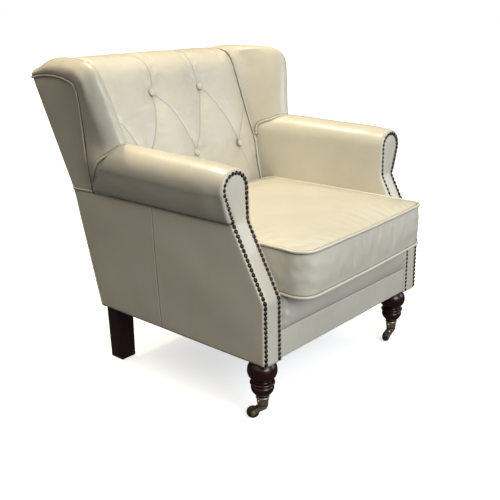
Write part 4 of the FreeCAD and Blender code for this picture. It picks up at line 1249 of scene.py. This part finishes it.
def make_legs():
    """Turned front legs in brass cups, and square rear legs that taper a little."""
    for side, name in SIDES:
        centre = (302 * side, 47)
        profile = curve(LEG_PROFILE, 150)
        leg = lathe(f"{name}_turned_leg", profile, centre, MAHOGANY, 72)
        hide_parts(f"{name}_front_leg")
        cup = lathe(f"{name}_brass_cup", curve(CUP_PROFILE, 60), centre, BRASS, 56)
        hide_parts(f"{name}_castor_cup")

        vertices = []
        for level in SQUARE_LEVELS:
            half = 25.0 + 2.0 * level / BASE - (1.6 if level < 1 else 0)
            for sx, sy in ((1, 1), (-1, 1), (-1, -1), (1, -1)):
                vertices.append((304 * side + sx * half, 594 + sy * half, level))
        faces = grid_faces(len(SQUARE_LEVELS), 4, False, True)
        faces += caps(len(SQUARE_LEVELS), 4)
        leg = new_piece(f"{name}_square_leg", metres(vertices), faces, MAHOGANY)
        bevel = leg.modifiers.new("eased", "BEVEL")
        bevel.width = 2.2 * MM
        bevel.segments = 3
        bevel.angle_limit = math.radians(40)
        bevel.limit_method = "ANGLE"
        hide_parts(f"{name}_rear_leg")


def make_dust_cover():
    """Black cloth tacked under the seat; it sags a little in the middle."""
    x = np.linspace(-343, 343, 90)
    y = np.linspace(12, 606, 80)[:, None]
    across = np.sin(math.pi * (x + 343) / 686).clip(0)
    along = np.sin(math.pi * (y - 12) / 594).clip(0)
    grid = spread(x, y, 0.0)
    grid[..., 2] = 168.4 - 5.0 * (across * along) ** 0.7 + 0.4 * ripple(grid, 120, 91)
    points = metres(grid).reshape(-1, 3)
    faces = [face[::-1] for face in grid_faces(len(y), len(x))]
    cloth = new_piece("dust_cloth", points, faces, BLACK_CLOTH)
    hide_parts("dust_cover")


CARRIED = {
    HARDWOOD: (
        "front_rail", "back_rail", "lower_back_rail", "top_rail", "corner_blocks",
        "arm_post", "arm_rail", "side_rail", "back_post", "wing_frame",
    ),
    STEEL: ("seat_springs", "spring_clips", "leg_bolts"),
    BRASS: ("cup_screws", "castor_fork", "castor_axle"),
    TREAD: ("castor_wheel",),
    NAIL: ("facing_nails",),
    WEBBING: ("back_webbing", "seat_deck"),
    ZIP: ("cushion_zip",),
}


def paint_carried_nodes():
    for name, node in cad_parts.items():
        if node.hide_render:
            continue
        plain = name.replace("left_", "").replace("right_", "")
        for material, names in CARRIED.items():
            if plain in names:
                for slot in node.material_slots:
                    slot.material = material
                node.data.shade_smooth()
                break
        else:
            print("no finish for", name)


# ------------------------------------------------------------------- stage


def make_stage():
    scene = bpy.context.scene
    paint = Paint("pale_floor")
    mottle = paint.span(paint.noise(2.0), 0, 1)
    tone = paint.mix(mottle, (0.9, 0.9, 0.9), (0.93, 0.93, 0.93))
    pale = paint.finish(
        Base_Color=tone, Roughness=0.9, Emission_Color=tone, Emission_Strength=0.66
    )
    paint = Paint("backdrop_white")
    white = paint.finish(
        Base_Color=(0, 0, 0, 1), Emission_Color=(1, 1, 1, 1), Emission_Strength=1.0
    )
    bpy.ops.mesh.primitive_plane_add(size=80, location=(0, 0, 0))
    floor = bpy.context.object
    bpy.ops.mesh.primitive_uv_sphere_add(radius=38, segments=48, ring_count=24)
    backdrop = bpy.context.object
    for thing, name, material in ((floor, "floor", pale), (backdrop, "backdrop", white)):
        thing.name = name
        thing.data.materials.append(material)
        # a paper sweep that throws no light of its own on the chair
        thing.visible_diffuse = False
        thing.visible_glossy = False
        thing.visible_shadow = False

    # a warm bright ceiling over dim walls
    world = bpy.data.worlds.new("studio")
    scene.world = world
    world.use_nodes = True
    tree = world.node_tree
    way = tree.nodes.new("ShaderNodeTexCoord")
    split = tree.nodes.new("ShaderNodeSeparateXYZ")
    ramp = tree.nodes.new("ShaderNodeValToRGB")
    tree.links.new(way.outputs["Generated"], split.inputs[0])
    tree.links.new(split.outputs["Z"], ramp.inputs[0])
    tree.links.new(ramp.outputs[0], tree.nodes["Background"].inputs["Color"])
    stops = [(0.0, (0.07, 0.07, 0.07)), (0.38, (0.12, 0.118, 0.11)),
             (0.70, (0.98, 0.88, 0.68)), (1.0, (1.1, 1.0, 0.78))]
    fill_ramp(ramp.color_ramp, stops)
    tree.nodes["Background"].inputs["Strength"].default_value = 1.0

    # name, place, power, size and colour
    lamps = [
        ("daylight", (-0.75, -3.0, 1.7), 66.0, 2.0, (0.86, 0.93, 1.0)),
        ("window", (2.2, -2.0, 1.3), 15.0, 1.4, (0.68, 0.82, 1.0)),
        ("ceiling", (-0.1, 1.1, 2.7), 36.0, 0.3, (1.0, 0.86, 0.58)),
    ]
    for name, place, power, size, colour in lamps:
        light = bpy.data.lights.new(name, "AREA")
        light.energy = power
        light.color = colour
        light.shape = "DISK"
        light.size = size
        lamp = bpy.data.objects.new(name, light)
        lamp.location = place
        aim = Vector((0, 0, 0.5)) - Vector(place)
        lamp.rotation_euler = aim.to_track_quat("-Z", "Y").to_euler()
        scene.collection.objects.link(lamp)


def make_camera():
    yaw, pitch, roll = -0.837, 0.320, -0.019
    level = math.cos(pitch)
    ahead = Vector((-math.sin(yaw) * level, math.cos(yaw) * level, -math.sin(pitch)))
    right = ahead.cross(Vector((0, 0, 1))).normalized()
    up = right.cross(ahead)
    tilted = math.cos(roll) * right + math.sin(roll) * up
    upward = -math.sin(roll) * right + math.cos(roll) * up
    place = Matrix((tilted, upward, -ahead)).transposed().to_4x4()
    place.translation = Vector((-1.5430, -1.0389 + FRONT * MM, 0.9904))
    lens = bpy.data.cameras.new("camera")
    lens.sensor_width = 36
    lens.lens = 53.55
    camera = bpy.data.objects.new("camera", lens)
    camera.matrix_world = place
    bpy.context.scene.collection.objects.link(camera)
    bpy.context.scene.camera = camera
    view = bpy.context.scene.view_settings
    view.view_transform = "Standard"
    view.look = "None"
    view.exposure = 0.0


ARM_SEAM = arm_seam()
make_arms(ARM_SEAM)
make_outside_arms()
make_facings()
make_wings(ARM_SEAM)
make_arm_seams(ARM_SEAM)
make_back()
make_buttons()
make_outside_back()
make_borders()
make_cushion()
make_legs()
make_dust_cover()
paint_carried_nodes()
make_stage()
make_camera()
